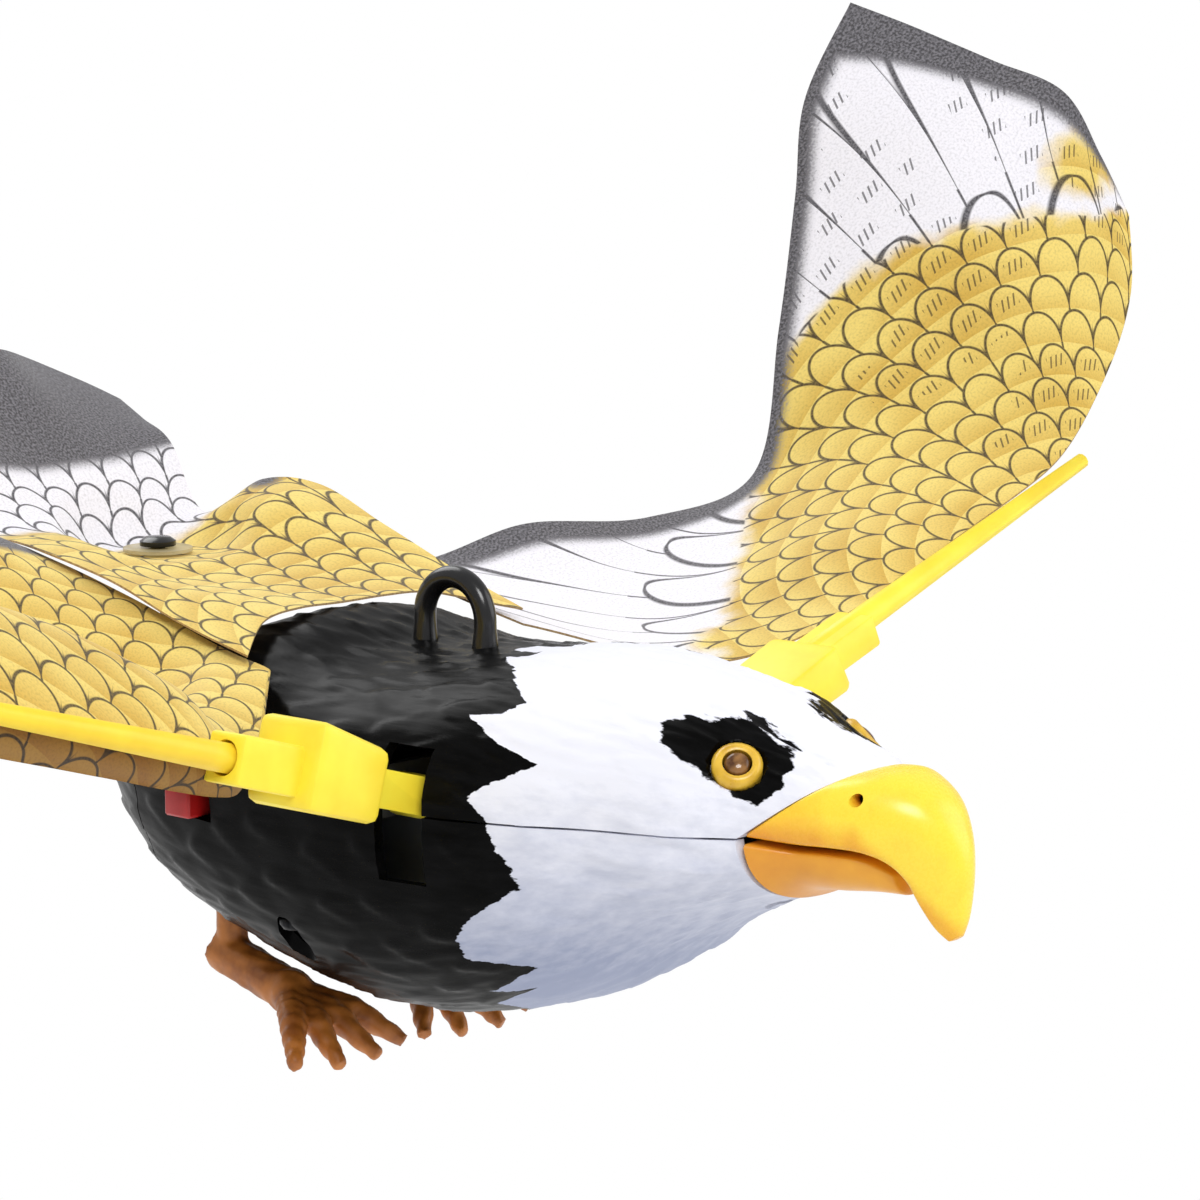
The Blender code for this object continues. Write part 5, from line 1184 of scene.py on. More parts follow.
@dataclass
class Beak:
    """Both halves of the beak, as smooth swept forms seated on the face."""

    arch_points: int = 45
    floor_points: int = 9
    rows_per_station: int = 6
    seat_gap_mm: float = 0.4
    nostril: tuple[float, float, float] = (79.8, 6.0, 0.85)
    nostril_reach_mm: tuple[float, float] = (6.2, 12.0)
    # Warmth that turns the inside of the nostril bores to the painted shade
    bore_warmth: float = 1.2
    least_warmth: float = 0.05
    face_warmth: float = 0.26
    mouth_warmth: float = 0.46
    most_warmth: float = 0.72
    face_fade_mm: tuple[float, float] = (3.0, 13.0)
    mouth_fade_mm: tuple[float, float] = (-0.5, 4.2)
    # Where the mouth's line turns down along the hook, and how steeply
    hook: tuple[float, float] = (80.0, 1.15)

    def build(self, upper_finish: Material, lower_finish: Material) -> None:
        """Makes both halves."""
        upper = self._half("upper_beak_look", FOREHEAD, UPPER_BEAK)
        forward, height, radius = self.nostril
        inner, outer = self.nostril_reach_mm
        bores = []
        for side in Side:
            ends = (place(side.value * x, forward, height) for x in (inner, outer))
            bores.append(rod(*ends, radius))
        work(upper, "DIFFERENCE", bores)
        lower = self._half("lower_beak_look", THROAT, LOWER_BEAK)
        for piece, finish, slot, node in (
            (upper, upper_finish, Slot.BEAK, "upper_beak"),
            (lower, lower_finish, Slot.LOWER_BEAK, "lower_beak"),
        ):
            spots = to_bird(vertices_of(piece))
            face = 1 - smoothstep(spots[:, 1] - GAPE, *self.face_fade_mm)
            over = spots[:, 2] + np.maximum(spots[:, 1] - self.hook[0], 0) * self.hook[1]
            mouth = 1 - smoothstep(over, *self.mouth_fade_mm)
            warmth = self.least_warmth + self.face_warmth * face + self.mouth_warmth * mouth
            warmth = np.clip(warmth, 0, self.most_warmth)
            # The inside of each nostril bore gets the painted shade
            in_bore_shade = np.hypot(spots[:, 1] - forward, spots[:, 2] - height) < radius * 1.1
            warmth[in_bore_shade & (np.abs(spots[:, 0]) < 7.0)] = self.bore_warmth
            mark(piece, "warmth", warmth)
            dress(piece, finish)
            smooth(piece, 50)
            hand_over(piece, "bird_body", slot, node)

    def _half(self, name: str, crown: tuple[float, float], stations: Sequence[Station]) -> Object:
        """Sweeps one half from its seat through its stations."""
        rings = np.array([self._seat(crown), *(self._arch(*station) for station in stations)])
        rows = through(rings, np.linspace(0, len(rings) - 1, (len(rings) - 1) * self.rows_per_station + 1))
        piece = formed(name, rows)
        edit(piece, merge, close_ends, face_out)
        apply_modifier(piece, "SUBSURF", levels=1, render_levels=1)
        return piece

    def _closed(self, arch: np.ndarray, sag: float) -> np.ndarray:
        """Closes an arch with a slightly curved floor."""
        share = np.linspace(0, 1, self.floor_points + 2)[1:, None]
        floor = arch[-1] + (arch[0] - arch[-1]) * share
        floor[:, 2] += sag * 4 * share[:, 0] * (1 - share[:, 0])
        return np.concatenate((arch, floor))

    def _arch(self, foot: tuple[float, float], crown: tuple[float, float], half: float) -> np.ndarray:
        """A flat-footed arch that leans from foot to crown."""
        out, rise = half_ring(self.arch_points)
        forward = foot[0] + (crown[0] - foot[0]) * rise
        height = foot[1] + (crown[1] - foot[1]) * rise
        arch = np.stack((half * out, forward, height), axis=1)
        return self._closed(arch, math.copysign(0.03 * half, foot[1] - crown[1]))

    def _seat(self, crown: tuple[float, float]) -> np.ndarray:
        """The arch where the beak meets the head: the body's own section along the slanted plane."""
        slope = (crown[0] - GAPE) / abs(crown[1])
        heights = np.linspace(0, 20, 2001)
        sides = body_side(GAPE + slope * heights, np.copysign(heights, crown[1]))
        reach = heights[np.argmax(sides < 0.2)]
        angle = np.linspace(0, math.pi, self.arch_points)
        height = reach * np.sin(angle)
        forward = GAPE + slope * height
        x = body_side(forward, np.copysign(height, crown[1])) * np.sign(np.cos(angle))
        x[self.arch_points // 2] = 0.0
        height = np.copysign(height + self.seat_gap_mm, crown[1])
        return self._closed(np.stack((x, forward + self.seat_gap_mm, height), axis=1), 0.0)


@dataclass
class HangRing:
    """The loop on the back: round stock that flares where it meets the shell."""

    stock_mm: float = 3.2
    hole_mm: float = 8.5
    foot_height: float = 13.4
    flare_mm: float = 0.4
    flare_heights: tuple[float, float] = (15.0, 20.0)
    around: int = 24
    bend_points: int = 41
    leg_points: int = 15

    def build(self, finish: Material) -> None:
        """Makes the ring."""
        radius = self.stock_mm / 2
        half = self.hole_mm / 2 + radius
        spring_line = -SEAM_Z + radius - half
        angle = np.linspace(0, math.pi, self.bend_points)
        down = np.linspace(self.foot_height, spring_line, self.leg_points + 1)[:-1]
        legs = np.full(self.leg_points, half)
        forward = np.concatenate((-legs, -half * np.cos(angle), legs))
        height = np.concatenate((down, spring_line + half * np.sin(angle), down[::-1]))
        way = np.stack((np.zeros_like(forward), forward, height), axis=1)
        tangent = np.gradient(way, axis=0)
        tangent /= np.linalg.norm(tangent, axis=1, keepdims=True)
        inward = np.cross(tangent, (1.0, 0.0, 0.0))
        turn = np.linspace(0, 2 * math.pi, self.around + 1)
        girth = radius + self.flare_mm * (1 - smoothstep(height, *self.flare_heights))
        sideways = np.array((1.0, 0.0, 0.0))
        offset = inward[:, None] * np.cos(turn)[None, :, None] + sideways * np.sin(turn)[None, :, None]
        ring = formed("hang_ring_look", way[:, None] + offset * girth[:, None, None])
        edit(ring, merge, close_ends, face_out)
        dress(ring, finish)
        smooth(ring, 50)
        hand_over(ring, "bird_body", Slot.BLACK, "hang_ring")


@dataclass
class Feet:
    """The two soft PVC feet: webbed roots and tapering toes."""

    voxel_mm: float = 0.42
    passes: int = 6
    leg_back_mm: float = 30.0
    scute_mm: float = 0.09
    scute_turn: float = 3.4
    blotch_mm: float = 0.16
    blotch_length_mm: float = 2.0

    def build(self, nodes: dict[str, Object], finish: Material) -> None:
        """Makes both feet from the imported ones, with their joins melted together."""
        for side in Side:
            name = f"{side.word}_foot"
            foot = copy_of(nodes[name])
            apply_modifier(foot, "REMESH", mode="VOXEL", voxel_size=self.voxel_mm * MM)
            apply_modifier(foot, "SMOOTH", factor=0.5, iterations=self.passes)
            self._roughen(foot)
            dress(foot, finish)
            smooth(foot, 60)
            hand_over(foot, "bird_body", Slot.FOOT, name)

    def _roughen(self, foot: Object) -> None:
        """Adds the scutes, as shallow ridges across the toes, and small lumps."""
        spots = to_bird(vertices_of(foot))
        normals = np.empty(len(foot.data.vertices) * 3, np.float32)
        foot.data.vertices.foreach_get("normal", normals)
        normals = normals.reshape(-1, 3)
        out = np.hypot(spots[:, 0], spots[:, 1] + self.leg_back_mm)
        ridge = np.sin(out * self.scute_turn) * self.scute_mm
        blotch = noise_at(*(spots.T / self.blotch_length_mm)) * self.blotch_mm
        put(foot, vertices_of(foot) + normals * ((ridge + blotch) * MM)[:, None])


# Pieces that show outside: finish, slot, nodes, width of the eased edges, angle above which an edge is sharp
SMOOTHED = (
    (LEMON, Slot.LEMON, ("left_wing_socket", "right_wing_socket"), 0.35, 45),
    (LEMON, Slot.LEMON, ("left_wing_rod",), 0.0, 40),
    # The near rod takes the darker copy of the yellow, a painted shade
    (NEAR_ROD_SHADED_YELLOW, Slot.LEMON, ("right_wing_rod",), 0.0, 40),
    (EYE_YELLOW, Slot.LEMON, ("left_eye_ring", "right_eye_ring"), 0.0, 35),
    (PUPIL, Slot.PUPIL, ("left_eye_lens", "right_eye_lens"), 0.0, 60),
    (SWITCH_RED, Slot.SWITCH, ("switch_knob",), 0.3, 35),
    (RING_BLACK, Slot.BLACK, ("tail_stud",), 0.0, 35),
    (FILM, Slot.FILM, ("tail_washer",), 0.0, 35),
    (BLACKENED_STEEL, Slot.STEEL, ("front_shell_screw", "left_shell_screw", "right_shell_screw"), 0.0, 35),
    (STEEL, Slot.STEEL, ("left_pivot_pin", "right_pivot_pin"), 0.0, 35),
)


@dataclass
class SmoothedPieces:
    """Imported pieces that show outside, as welded smooth copies with eased edges."""

    nodes: dict[str, Object]
    segments: int = 3
    ease_degrees: float = 38.0
    arm_root_mm: float = 26.2
    arm_slope_degrees: float = 19.0
    cap_share: float = 0.3

    def build(self) -> None:
        """Makes the copies."""
        for finish, slot, names, ease_mm, degrees in SMOOTHED:
            for name in names:
                body = body_of(self.nodes[name])
                piece = copy_of(self.nodes[name])
                if ease_mm:
                    self._ease(piece, ease_mm)
                if name == "left_wing_socket":
                    self._slim(piece)
                dress(piece, made_of(finish))
                smooth(piece, degrees)
                hand_over(piece, body if isinstance(body, str) else body[0], slot, name)

    def _ease(self, piece: Object, ease_mm: float) -> None:
        """Rounds the sharper edges."""
        apply_modifier(
            piece,
            "BEVEL",
            width=ease_mm * MM,
            segments=self.segments,
            limit_method="ANGLE",
            angle_limit=math.radians(self.ease_degrees),
        )

    def _slim(self, socket: Object) -> None:
        """Lowers the far socket's cap, which lies flat under the edge of the cloth."""
        spots = to_bird(vertices_of(socket))
        middle = 1.0 + (spots[:, 0] - self.arm_root_mm) * math.tan(math.radians(self.arm_slope_degrees))
        above = spots[:, 2] - middle
        spots[:, 2] = middle + np.where(above > 1.0, 1.0 + (above - 1.0) * self.cap_share, above)
        put(socket, to_world(spots))


@dataclass
class Mechanism:
    """The works inside the shells, which keep their packed forms."""

    nodes: dict[str, Object]

    def dress(self) -> None:
        """Gives each piece its finish."""
        for finish, names in (
            (LAMP, ("left_eye_led", "right_eye_led")),
            (FRAME_GREY, ("wing_frame", "gearbox_rear_plate", "gearbox_front_plate")),
            (FRAME_GREY, ("speaker", "battery_tray", "switch_body")),
            (ACETAL, ("left_connecting_rod", "right_connecting_rod")),
            (ACETAL, ("crank_disc", "crank_gear", "compound_gear")),
            (BOARD, ("circuit_board",)),
            (CELL_SLEEVE, ("cell_1", "cell_2", "cell_3")),
            (STEEL, ("motor_can", "idler_shaft", "motor_pinion", "front_contact", "rear_contact")),
        ):
            for name in names:
                dress(self.nodes[name], made_of(finish))
                LOG.info("%s: %s", name, finish.name)


# Cloth

# The sheets' nets, a row for each step out from the body: across the bird, forward, and height over NET_BASE.
# A wing's columns run from the rod to its rear edge, the tail's from side to side.
NET_LEFT = (
    ((26, -11, -0.6), (26, -18, 0.8), (26, -27, 2.6), (26, -37, 4.2), (26, -47, 5.8), (26, -56, 7)),
    ((46, 6, -7), (45, -6, -5.5), (44, -16, -4), (43, -27, -1.5), (42, -39, 0.5), (42, -50, 2.5)),
    ((62, 16.6, -2.2), (62, 6, -2.5), (61, -8, -4), (61, -20, -3), (61, -33, 1), (61, -44, 7)),
    ((80, 18.3, 4.2), (81, 8, 6.5), (82, -4, 6.5), (82.5, -16, 4), (83, -28, 4), (83, -37, 6.5)),
    ((98, 18.3, 10.3), (99.5, 8, 13), (101, -4, 15), (101.5, -14, 15.5), (101, -22, 14), (100.4, -30, 12.5)),
    ((118, 17.5, 17.5), (119.5, 7, 23), (119, -5, 27), (116, -15, 30), (113, -25, 32), (110, -33, 34.5)),
    ((133, 15, 29), (133, 5, 38), (130, -6, 45), (126, -17, 50), (121.5, -27, 53), (117.5, -36, 55)),
    ((142, 13, 41), (143.5, 4, 52), (139, -8, 60), (133, -18, 66), (127, -28, 69.5), (121, -37, 70.6)),
    ((148, 8, 52.8), (148.5, 2, 62), (149, -6, 72), (142, -15, 77), (136, -26, 82), (130, -35, 86)),
)
NET_RIGHT = (
    ((26, -11, -0.6), (26, -18, 0.8), (26, -27, 3.1), (26, -37, 5.8), (26, -48, 8.4), (26, -61, 11.2)),
    ((46, 6, -8.5), (46, -5, -3), (45, -16, -6), (44, -28, -1), (43, -43, 7), (42, -60, 16.5)),
    ((62, 16.6, -4.2), (61, 6, 4), (61, -8, -3), (61, -22, -9), (60, -39, 1), (60, -58, 15.5)),
    ((80, 18.3, 1), (80, 3, 14), (80, -10, 6), (79, -24, -4), (78, -39, 1), (76, -54, 13.5)),
    ((98, 18.3, 6.2), (98, 6, 20), (98, -8, 14), (97, -22, 4), (96, -35, 4.5), (94, -46, 12)),
    ((118, 17.5, 12), (118, 6, 25), (118, -8, 22), (117, -20, 14), (115, -32, 12), (112, -40, 16)),
    ((134, 14, 19), (134, 4, 29), (133, -8, 30), (131, -20, 24), (129, -30, 22), (126, -38, 25)),
    ((146, 9, 28), (146, 0, 36), (145, -9, 38), (143, -19, 35), (140, -28, 33), (137, -36, 34)),
    ((155, 2, 38), (155, -5, 43), (154, -12, 46), (152, -20, 45), (149, -28, 44), (146, -35, 44)),
)
NET_TAIL = (
    (
        (-28, -13, 1.2), (-18, -20, 3.8), (-9, -22, 4.5), (0, -22.5, 4.6),
        (9, -22, 4.5), (18, -20, 3.8), (28, -13, 1.2),
    ),
    (
        (-28, -28, 4.8), (-18, -32, 6.2), (-9, -33, 5.6), (0, -33, 5.4),
        (9, -33, 6), (18, -32, 7), (28, -28, 6),
    ),
    (
        (-28, -42, 9), (-18, -44, 8), (-9, -45, 6.6), (0, -45, 6.8),
        (9, -45, 8), (18, -44, 11), (28, -42, 11),
    ),
    (
        (-28, -55, 11.4), (-18, -54, 10.5), (-9, -53.5, 9), (0, -53, 8.6),
        (9, -53.5, 10), (18, -54, 15), (28, -55, 15.5),
    ),
    (
        (-26, -63, 11.8), (-16, -62, 11.5), (-8, -61.5, 8.9), (0, -61, 8.5),
        (8, -61.5, 9), (16, -61, 13.5), (22, -61, 16.5),
    ),
    (
        (-25.5, -72, 12.6), (-15, -71, 12.5), (-7, -70, 11.5), (0, -70, 11),
        (7, -70, 10.8), (13, -70, 10.6), (18.5, -70.5, 11),
    ),
    (
        (-28, -81, 20), (-17, -80, 20.5), (-8, -80, 19.5), (0, -80, 19.5),
        (8, -80, 19.5), (15, -81, 20), (21.5, -81, 20.5),
    ),
    (
        (-30, -91, 33), (-19, -91, 31.5), (-9, -91, 30.5), (0, -90, 29.5),
        (9, -92, 28), (16, -91, 26), (22.3, -88, 23.5),
    ),
    (
        (-31, -98, 40), (-20, -99, 38.5), (-10, -98, 37), (0, -97, 35.5),
        (10, -101, 33), (17, -98, 29.5), (22.5, -93.5, 26),
    ),
)


@dataclass
class ClothPlaces:
    """Where each vertex of a sheet is: on its net, on the flat cloth and on the bird."""

    row: np.ndarray
    column: np.ndarray
    out: np.ndarray
    across: np.ndarray
    to_end: np.ndarray
    to_hem: np.ndarray
    spots: np.ndarray

    def away(self, row: float, column: float, radius: float) -> np.ndarray:
        """Distance from a round spot on the net, in millimetres: below 0 inside it."""
        gap = (self.row - row) ** 2 + (self.column - column) ** 2
        i, j = np.unravel_index(np.argmin(gap), gap.shape)
        return np.linalg.norm(self.spots - self.spots[i, j], axis=-1) - radius


Zones = Callable[[ClothPlaces], dict[str, np.ndarray]]

# A wing's print. By columns: the row where its white tip starts, and the sooty border at the tip.
WING_ROW_MM = 19.0
TIP_ROW = (8.2, 7.05, 6.4, 5.9, 5.45, 4.6)
TIP_BORDER_MM = (-1.0, 2.0, 4.4, 5.5, 7.5, 9.5)
# By rows: the sooty border along the rear edge
BORDER_ROWS = (0, 3.4, 4.4, 8)
REAR_BORDER_MM = (5.2, 5.2, 2.4, 2.9)
# Tan spots in the white of the tip and of the panel: row, column and radius
TIP_SPOT = (7.45, 1.3, 5.5)
PANEL_SPOT = (1.6, 0.9, 5.0)
# The white panel's outer edge: a place on it, the way out across it, and that way's length
PANEL_EDGE = (50, 6)
PANEL_OUT = (36, 50)
PANEL_OUT_LENGTH = 61.6
# The tail's print: the rows where its white and its sooty border start, and a sooty corner
TAIL_WHITE_ROW = 4.62
TAIL_SOOT_ROW = 5.95
TAIL_CORNER = (4.0, 6.0, 2.6)


def wing_zones(at: ClothPlaces, panel_is_white: bool) -> dict[str, np.ndarray]:
    """Print zones of a wing, as depths in millimetres: white tip, sooty border, white panel by the body; also
    the hem's painted shade.
    """
    columns = range(6)
    outer = (at.row - np.interp(at.column, columns, TIP_ROW)) * WING_ROW_MM
    band = np.interp(at.row, BORDER_ROWS, REAR_BORDER_MM)
    tip = np.interp(at.column, columns, TIP_BORDER_MM)
    soot = np.maximum(band - at.to_hem, tip - at.to_end)
    white = np.minimum(outer, at.away(*TIP_SPOT))
    if panel_is_white:
        x, forward = np.abs(at.spots[..., 0]), at.spots[..., 1]
        out_x, out_forward = PANEL_OUT
        inboard = -((x - PANEL_EDGE[0]) * out_x + (forward - PANEL_EDGE[1]) * out_forward) / PANEL_OUT_LENGTH
        inboard = np.minimum(inboard, at.away(*PANEL_SPOT))
        white = np.maximum(white, inboard)
        outer = np.maximum(outer, inboard)
    hatch = smoothstep(at.row, 3.2, 5.2) * 0.52 + (white > -4) * 0.03
    # Painted shade over the hem that hangs under the rod
    muted = smoothstep(-at.across, 0.0, 1.6)
    return {"outer": outer, "white": white, "soot": soot, "hatch": hatch, "muted": muted}


def left_zones(at: ClothPlaces) -> dict[str, np.ndarray]:
    """Print zones of the left wing, whose panel by the body is white."""
    return wing_zones(at, True)


def right_zones(at: ClothPlaces) -> dict[str, np.ndarray]:
    """Print zones of the right wing, whose scales run up to the body."""
    return wing_zones(at, False)


def tail_zones(at: ClothPlaces) -> dict[str, np.ndarray]:
    """Print zones of the middle and tail: scales, then white scales, then a wide sooty border."""
    rows = at.row[:, 0]
    out = at.out[:, 0]
    white = at.out - np.interp(TAIL_WHITE_ROW, rows, out)
    soot = np.maximum(at.out - np.interp(TAIL_SOOT_ROW, rows, out), -at.away(*TAIL_CORNER))
    nothing = np.zeros_like(white)
    return {"outer": nothing - 5, "white": white, "soot": soot, "hatch": nothing, "muted": nothing}


@dataclass
class ClothSheet:
    """A printed sheet of satin, laid in its folds over a net of places."""

    name: str
    net: Sequence[Sequence[tuple[float, float, float]]]
    side: int
    centre: tuple[float, float]
    zones: Zones
    hem_mm: tuple[float, ...] = ()
    rod_forward: float | None = None
    rows: int = 181
    columns: int = 111
    thickness_mm: float = 0.32
    ripple_mm: float = 0.35
    ripple_length_mm: float = 14.0
    hem_back_mm: float = 0.9
    spine: float = 0.45
    # Forward and height of the cloth under the stud, and the radii that it is flat and free at
    stud: tuple[float, float, float, float] = (-61.0, 23.2, 8.0, 16.0)

    def build(self, face: Material, back: Material) -> Object:
        """Makes the sheet with its print maps and its two faces."""
        places = self._places()
        sheet = formed(self.name, places.spots)
        i, j = self._grid_order()
        self._maps(sheet, places, i, j)
        for name, values in self.zones(places).items():
            mark(sheet, name, values[i, j])
        self._face_up(sheet)
        dress(sheet, face, back)
        LOG.info(
            "%s: %.0f by %.0f mm, %.0f cm2",
            self.name,
            np.ptp(places.across),
            np.ptp(places.out),
            sum(poly.area for poly in sheet.data.polygons) * 1e4,
        )
        apply_modifier(
            sheet,
            "SOLIDIFY",
            thickness=self.thickness_mm * MM,
            offset=0.0,
            material_offset=1,
            material_offset_rim=1,
        )
        smooth(sheet, 60)
        return sheet

    def _places(self) -> ClothPlaces:
        """Works out where each vertex goes and how far along the flat cloth it is."""
        net = np.array(self.net, float)
        if self.hem_mm:
            hem = net[:, :1].copy()
            hem[:, 0, 1] -= self.hem_back_mm
            hem[:, 0, 2] -= np.array(self.hem_mm)
            net = np.concatenate((hem, net), axis=1)
        row = np.linspace(0, net.shape[0] - 1, self.rows)
        column = np.linspace(0, net.shape[1] - 1, self.columns)
        spots = through(net, row)
        spots = through(spots.transpose(1, 0, 2), column).transpose(1, 0, 2)
        stud_forward, stud_height, flat, loose = self.stud
        spots[..., 2] += NET_BASE
        free = smoothstep(np.hypot(spots[..., 0], spots[..., 1] - stud_forward), flat, loose)
        x, forward = (spots[..., axis] / self.ripple_length_mm for axis in (0, 1))
        wave = noise_at(x, forward, np.array(0.5))
        spots[..., 2] = stud_height + (spots[..., 2] + wave * self.ripple_mm - stud_height) * free
        spots[..., 0] *= self.side
        steps = np.linalg.norm(np.diff(spots, axis=1), axis=2)
        across = np.concatenate((np.zeros((self.rows, 1)), np.cumsum(steps, axis=1)), axis=1)
        to_hem = across[:, -1:] - across
        middle = spots[:, round(self.spine * (self.columns - 1))]
        out = np.concatenate(([0.0], np.cumsum(np.linalg.norm(np.diff(middle, axis=0), axis=1))))
        if self.rod_forward is None:
            across = across - across[:, -1:] / 2
        else:
            first = round((self.columns - 1) / (net.shape[1] - 1)) if self.hem_mm else 0
            across = across - across[:, first : first + 1]
            across = across + np.maximum(self.rod_forward - spots[:, first, 1], 0.0)[:, None] * (across >= 0)
        grid_row, grid_column = np.meshgrid(row, column - (1 if self.hem_mm else 0), indexing="ij")
        along = np.repeat(out[:, None], self.columns, axis=1)
        return ClothPlaces(grid_row, grid_column, along, across, along[-1:] - along, to_hem, spots)

    def _grid_order(self) -> tuple[np.ndarray, np.ndarray]:
        """Row and column of the vertices, in the order of a fresh grid."""
        deselect_all()
        rows, columns = self.rows, self.columns
        bpy.ops.mesh.primitive_grid_add(x_subdivisions=rows - 1, y_subdivisions=columns - 1, size=2.0)
        helper = bpy.context.object
        order = grid_places(helper, rows, columns)
        bpy.data.objects.remove(helper, do_unlink=True)
        return order

    def _maps(self, sheet: Object, at: ClothPlaces, i: np.ndarray, j: np.ndarray) -> None:
        """Adds the flat cut in metres, and the print's turn and radius round its centre."""
        mesh = sheet.data
        while mesh.uv_layers:
            mesh.uv_layers.remove(mesh.uv_layers[0])
        out, across = at.out[i, j], at.across[i, j]
        from_out, from_across = out - self.centre[0], across - self.centre[1]
        turn = np.mod(np.arctan2(from_across, from_out) / (2 * math.pi) + 0.25, 1.0)
        corner = np.zeros(len(mesh.loops), dtype=np.int32)
        mesh.loops.foreach_get("vertex_index", corner)
        for name, pair in (
            ("print", (turn, np.hypot(from_out, from_across))),
            ("cut", (out * MM, across * MM)),
        ):
            layer = mesh.uv_layers.new(name=name)
            layer.data.foreach_set("uv", np.stack(pair, axis=1)[corner].astype(np.float32).ravel())

    def _face_up(self, sheet: Object) -> None:
        """Turns the printed face upwards."""
        if sum(poly.normal.z * poly.area for poly in sheet.data.polygons) < 0:
            edit(sheet, bpy.ops.mesh.flip_normals)


@dataclass
class Cloth:
    """The three sheets: a wing on each rod and the middle with the tail, over the back."""

    cross_start_mm: float = 1.0
    cross_end_mm: float = 20.0
    right_hem: tuple[float, ...] = (1.0, 2.5, 5.6, 5.8, 5.8, 5.2, 4.0, 2.5, 1.2)

    def build(self) -> None:
        """Makes the sheets and lets the wings bend at the shoulders."""
        back = SatinBack().build()
        wing_print = PrintedSatin("printed_satin_wing", 7.2, 5.8).build()
        tail_print = PrintedSatin("printed_satin_tail", 6.2, 5.2).build()
        for side, net, zones, hem, flat, area in (
            (Side.LEFT, NET_LEFT, left_zones, (), (0.075, 0.162), 0.0084),
            (Side.RIGHT, NET_RIGHT, right_zones, self.right_hem, (0.098, 0.149), 0.0104),
        ):
            sheet = ClothSheet(
                f"{side.word}_wing_cloth", net, side.value, (90.0, -25.0), zones, hem_mm=hem, rod_forward=18.3
            ).build(wing_print, back)
            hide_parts(f"{side.word}_wing_sheet")
            low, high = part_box(f"{side.word}_pivot_pin")
            x = (low.x + high.x) / 2
            start = (x + side.value * self.cross_start_mm * MM, 0, 0)
            end = (x + side.value * self.cross_end_mm * MM, 0, 0)
            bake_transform(sheet, "bird_body", f"{side.word}_wing", start=start, end=end)
        tail = ClothSheet("tail_cloth", NET_TAIL, 1, (-60.0, 0.0), tail_zones).build(tail_print, back)
        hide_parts("tail_sheet")
        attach(tail, "bird_body")


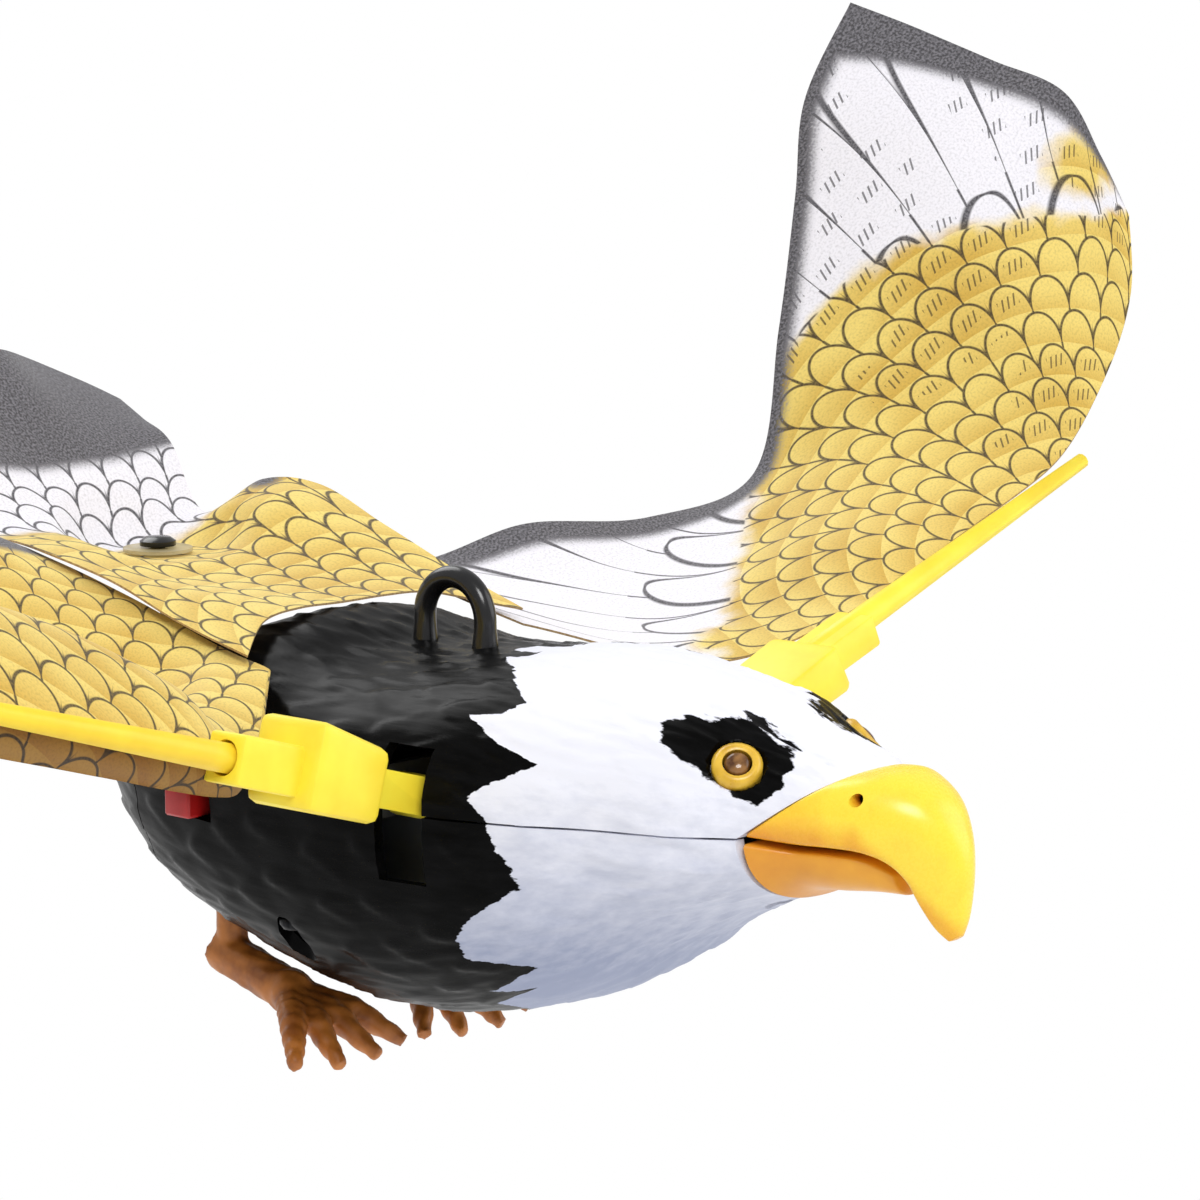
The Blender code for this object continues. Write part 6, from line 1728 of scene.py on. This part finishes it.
@dataclass
class Studio:
    """Camera, floor, backdrop and soft lamps."""

    azimuth: float = -48.0
    elevation: float = 9.0
    distance_mm: float = 700.0
    focal_px: float = 4970.0
    image_px: float = 1200.0
    aim_right_mm: float = 20.4
    aim_up_mm: float = 7.0
    floor_drop_mm: float = 330.0
    floor_paper: str = "#f4f4f3"
    floor_edge_m: tuple[float, float] = (0.25, 0.60)
    background: str = "#ffffff"
    room: str = "#f9f9f9"
    air: float = 0.62
    # Name, place in metres, width in metres and watts
    lamps: tuple[tuple[str, tuple[float, float, float], float, float], ...] = (
        ("key_lamp", (-0.7, -0.9, 1.1), 0.7, 13.5),
        ("fill_lamp", (0.9, -0.9, 0.5), 1.2, 5.5),
        ("rear_lamp", (0.2, 1.0, 0.9), 1.0, 8.0),
    )
    lamps_aim: tuple[float, float, float] = (0.0, 0.0, -0.02)

    def build(self) -> None:
        """Makes all of it."""
        self._camera()
        self._floor()
        self._air()
        self._lamps()
        bpy.context.scene.view_settings.view_transform = "Standard"

    def _aimed(self, name: str, data: ID, spot: Vector, along: Vector) -> Object:
        """Places a camera or a lamp that looks along a direction."""
        made = bpy.data.objects.new(name, data)
        made.location = spot
        made.rotation_mode = "QUATERNION"
        made.rotation_quaternion = along.to_track_quat("-Z", "Y")
        bpy.context.scene.collection.objects.link(made)
        return made

    def _camera(self) -> None:
        """Sets the photograph's view."""
        a, e = math.radians(self.azimuth), math.radians(self.elevation)
        right = Vector((math.cos(a), math.sin(a), 0.0))
        back = Vector((math.sin(a) * math.cos(e), -math.cos(a) * math.cos(e), math.sin(e)))
        up = back.cross(right)
        aim = right * self.aim_right_mm * MM + up * self.aim_up_mm * MM
        aim = aim + Vector((0, 0, (SEAM_Z + NET_BASE) * MM))
        data = bpy.data.cameras.new("camera")
        data.sensor_width = 36.0
        data.lens = self.focal_px / self.image_px * data.sensor_width
        data.clip_start = 0.01
        data.clip_end = 20.0
        bpy.context.scene.camera = self._aimed("camera", data, aim + back * self.distance_mm * MM, -back)

    def _floor(self) -> None:
        """A pale floor far below the bird: it takes the shadow, and turns to white paper further off."""
        deselect_all()
        bpy.ops.mesh.primitive_plane_add(size=8.0, location=(0, 0, -self.floor_drop_mm * MM))
        bpy.ops.object.transform_apply(location=True, rotation=True, scale=True)
        floor = bpy.context.object
        floor.name = "floor"
        made, tree, shader = new_material("white_floor_paper")
        fill(shader, {"Base Color": self.floor_paper, "Roughness": 0.9})
        here = add(tree, "TexCoord", out="Object")
        level = add(tree, "VectorMath", here, (1.0, 1.0, 0.0), operation="MULTIPLY")
        away = add(tree, "VectorMath", level, operation="LENGTH", out="Value")
        far = add(tree, "MapRange", away, *self.floor_edge_m, interpolation_type="SMOOTHSTEP")
        path = add(tree, "LightPath").node.outputs
        seen = add(tree, "Math", path["Is Camera Ray"], path["Is Glossy Ray"], operation="MAXIMUM")
        seen = add(tree, "Math", seen, path["Is Transmission Ray"], operation="MAXIMUM")
        share = add(tree, "Math", far, seen, operation="MULTIPLY")
        white = add(tree, "Emission", into={"Color": self.background, "Strength": 1.0})
        mixed = add(tree, "MixShader", share, shader.outputs[0], white)
        tree.links.new(mixed, tree.nodes["Material Output"].inputs[0])
        dress(floor, made)

    def _air(self) -> None:
        """A pale room, white where the camera looks past the floor."""
        world = bpy.data.worlds.new("studio_air")
        world.use_nodes = True
        bpy.context.scene.world = world
        tree = world.node_tree
        air = tree.nodes["Background"]
        fill(air, {"Color": self.room, "Strength": self.air})
        path = add(tree, "LightPath").node.outputs
        seen = add(tree, "Math", path["Is Camera Ray"], path["Is Transmission Ray"], operation="MAXIMUM")
        white = add(tree, "Background", into={"Color": self.background, "Strength": 1.0})
        mixed = add(tree, "MixShader", seen, air.outputs[0], white)
        tree.links.new(mixed, tree.nodes["World Output"].inputs[0])

    def _lamps(self) -> None:
        """Three large soft lamps."""
        for name, spot, size, watts in self.lamps:
            data = bpy.data.lights.new(name, "AREA")
            data.shape = "DISK"
            data.size = size
            data.energy = watts
            self._aimed(name, data, Vector(spot), Vector(self.lamps_aim) - Vector(spot))


def main() -> None:
    """Builds the object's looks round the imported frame."""
    logging.basicConfig(level=logging.INFO, format="%(name)s: %(message)s")
    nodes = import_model()["nodes"]
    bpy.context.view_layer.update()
    deselect_all()
    Studio().build()

    Shells().build(PaintedShell().build())
    Beak().build(UPPER_BEAK_PLASTIC.build(), LOWER_BEAK_PLASTIC.build())
    HangRing().build(made_of(RING_BLACK))
    Feet().build(nodes, FOOT_BROWN.build())
    SmoothedPieces(nodes).build()
    Mechanism(nodes).dress()
    Cloth().build()


if __name__ == "__main__":
    main()
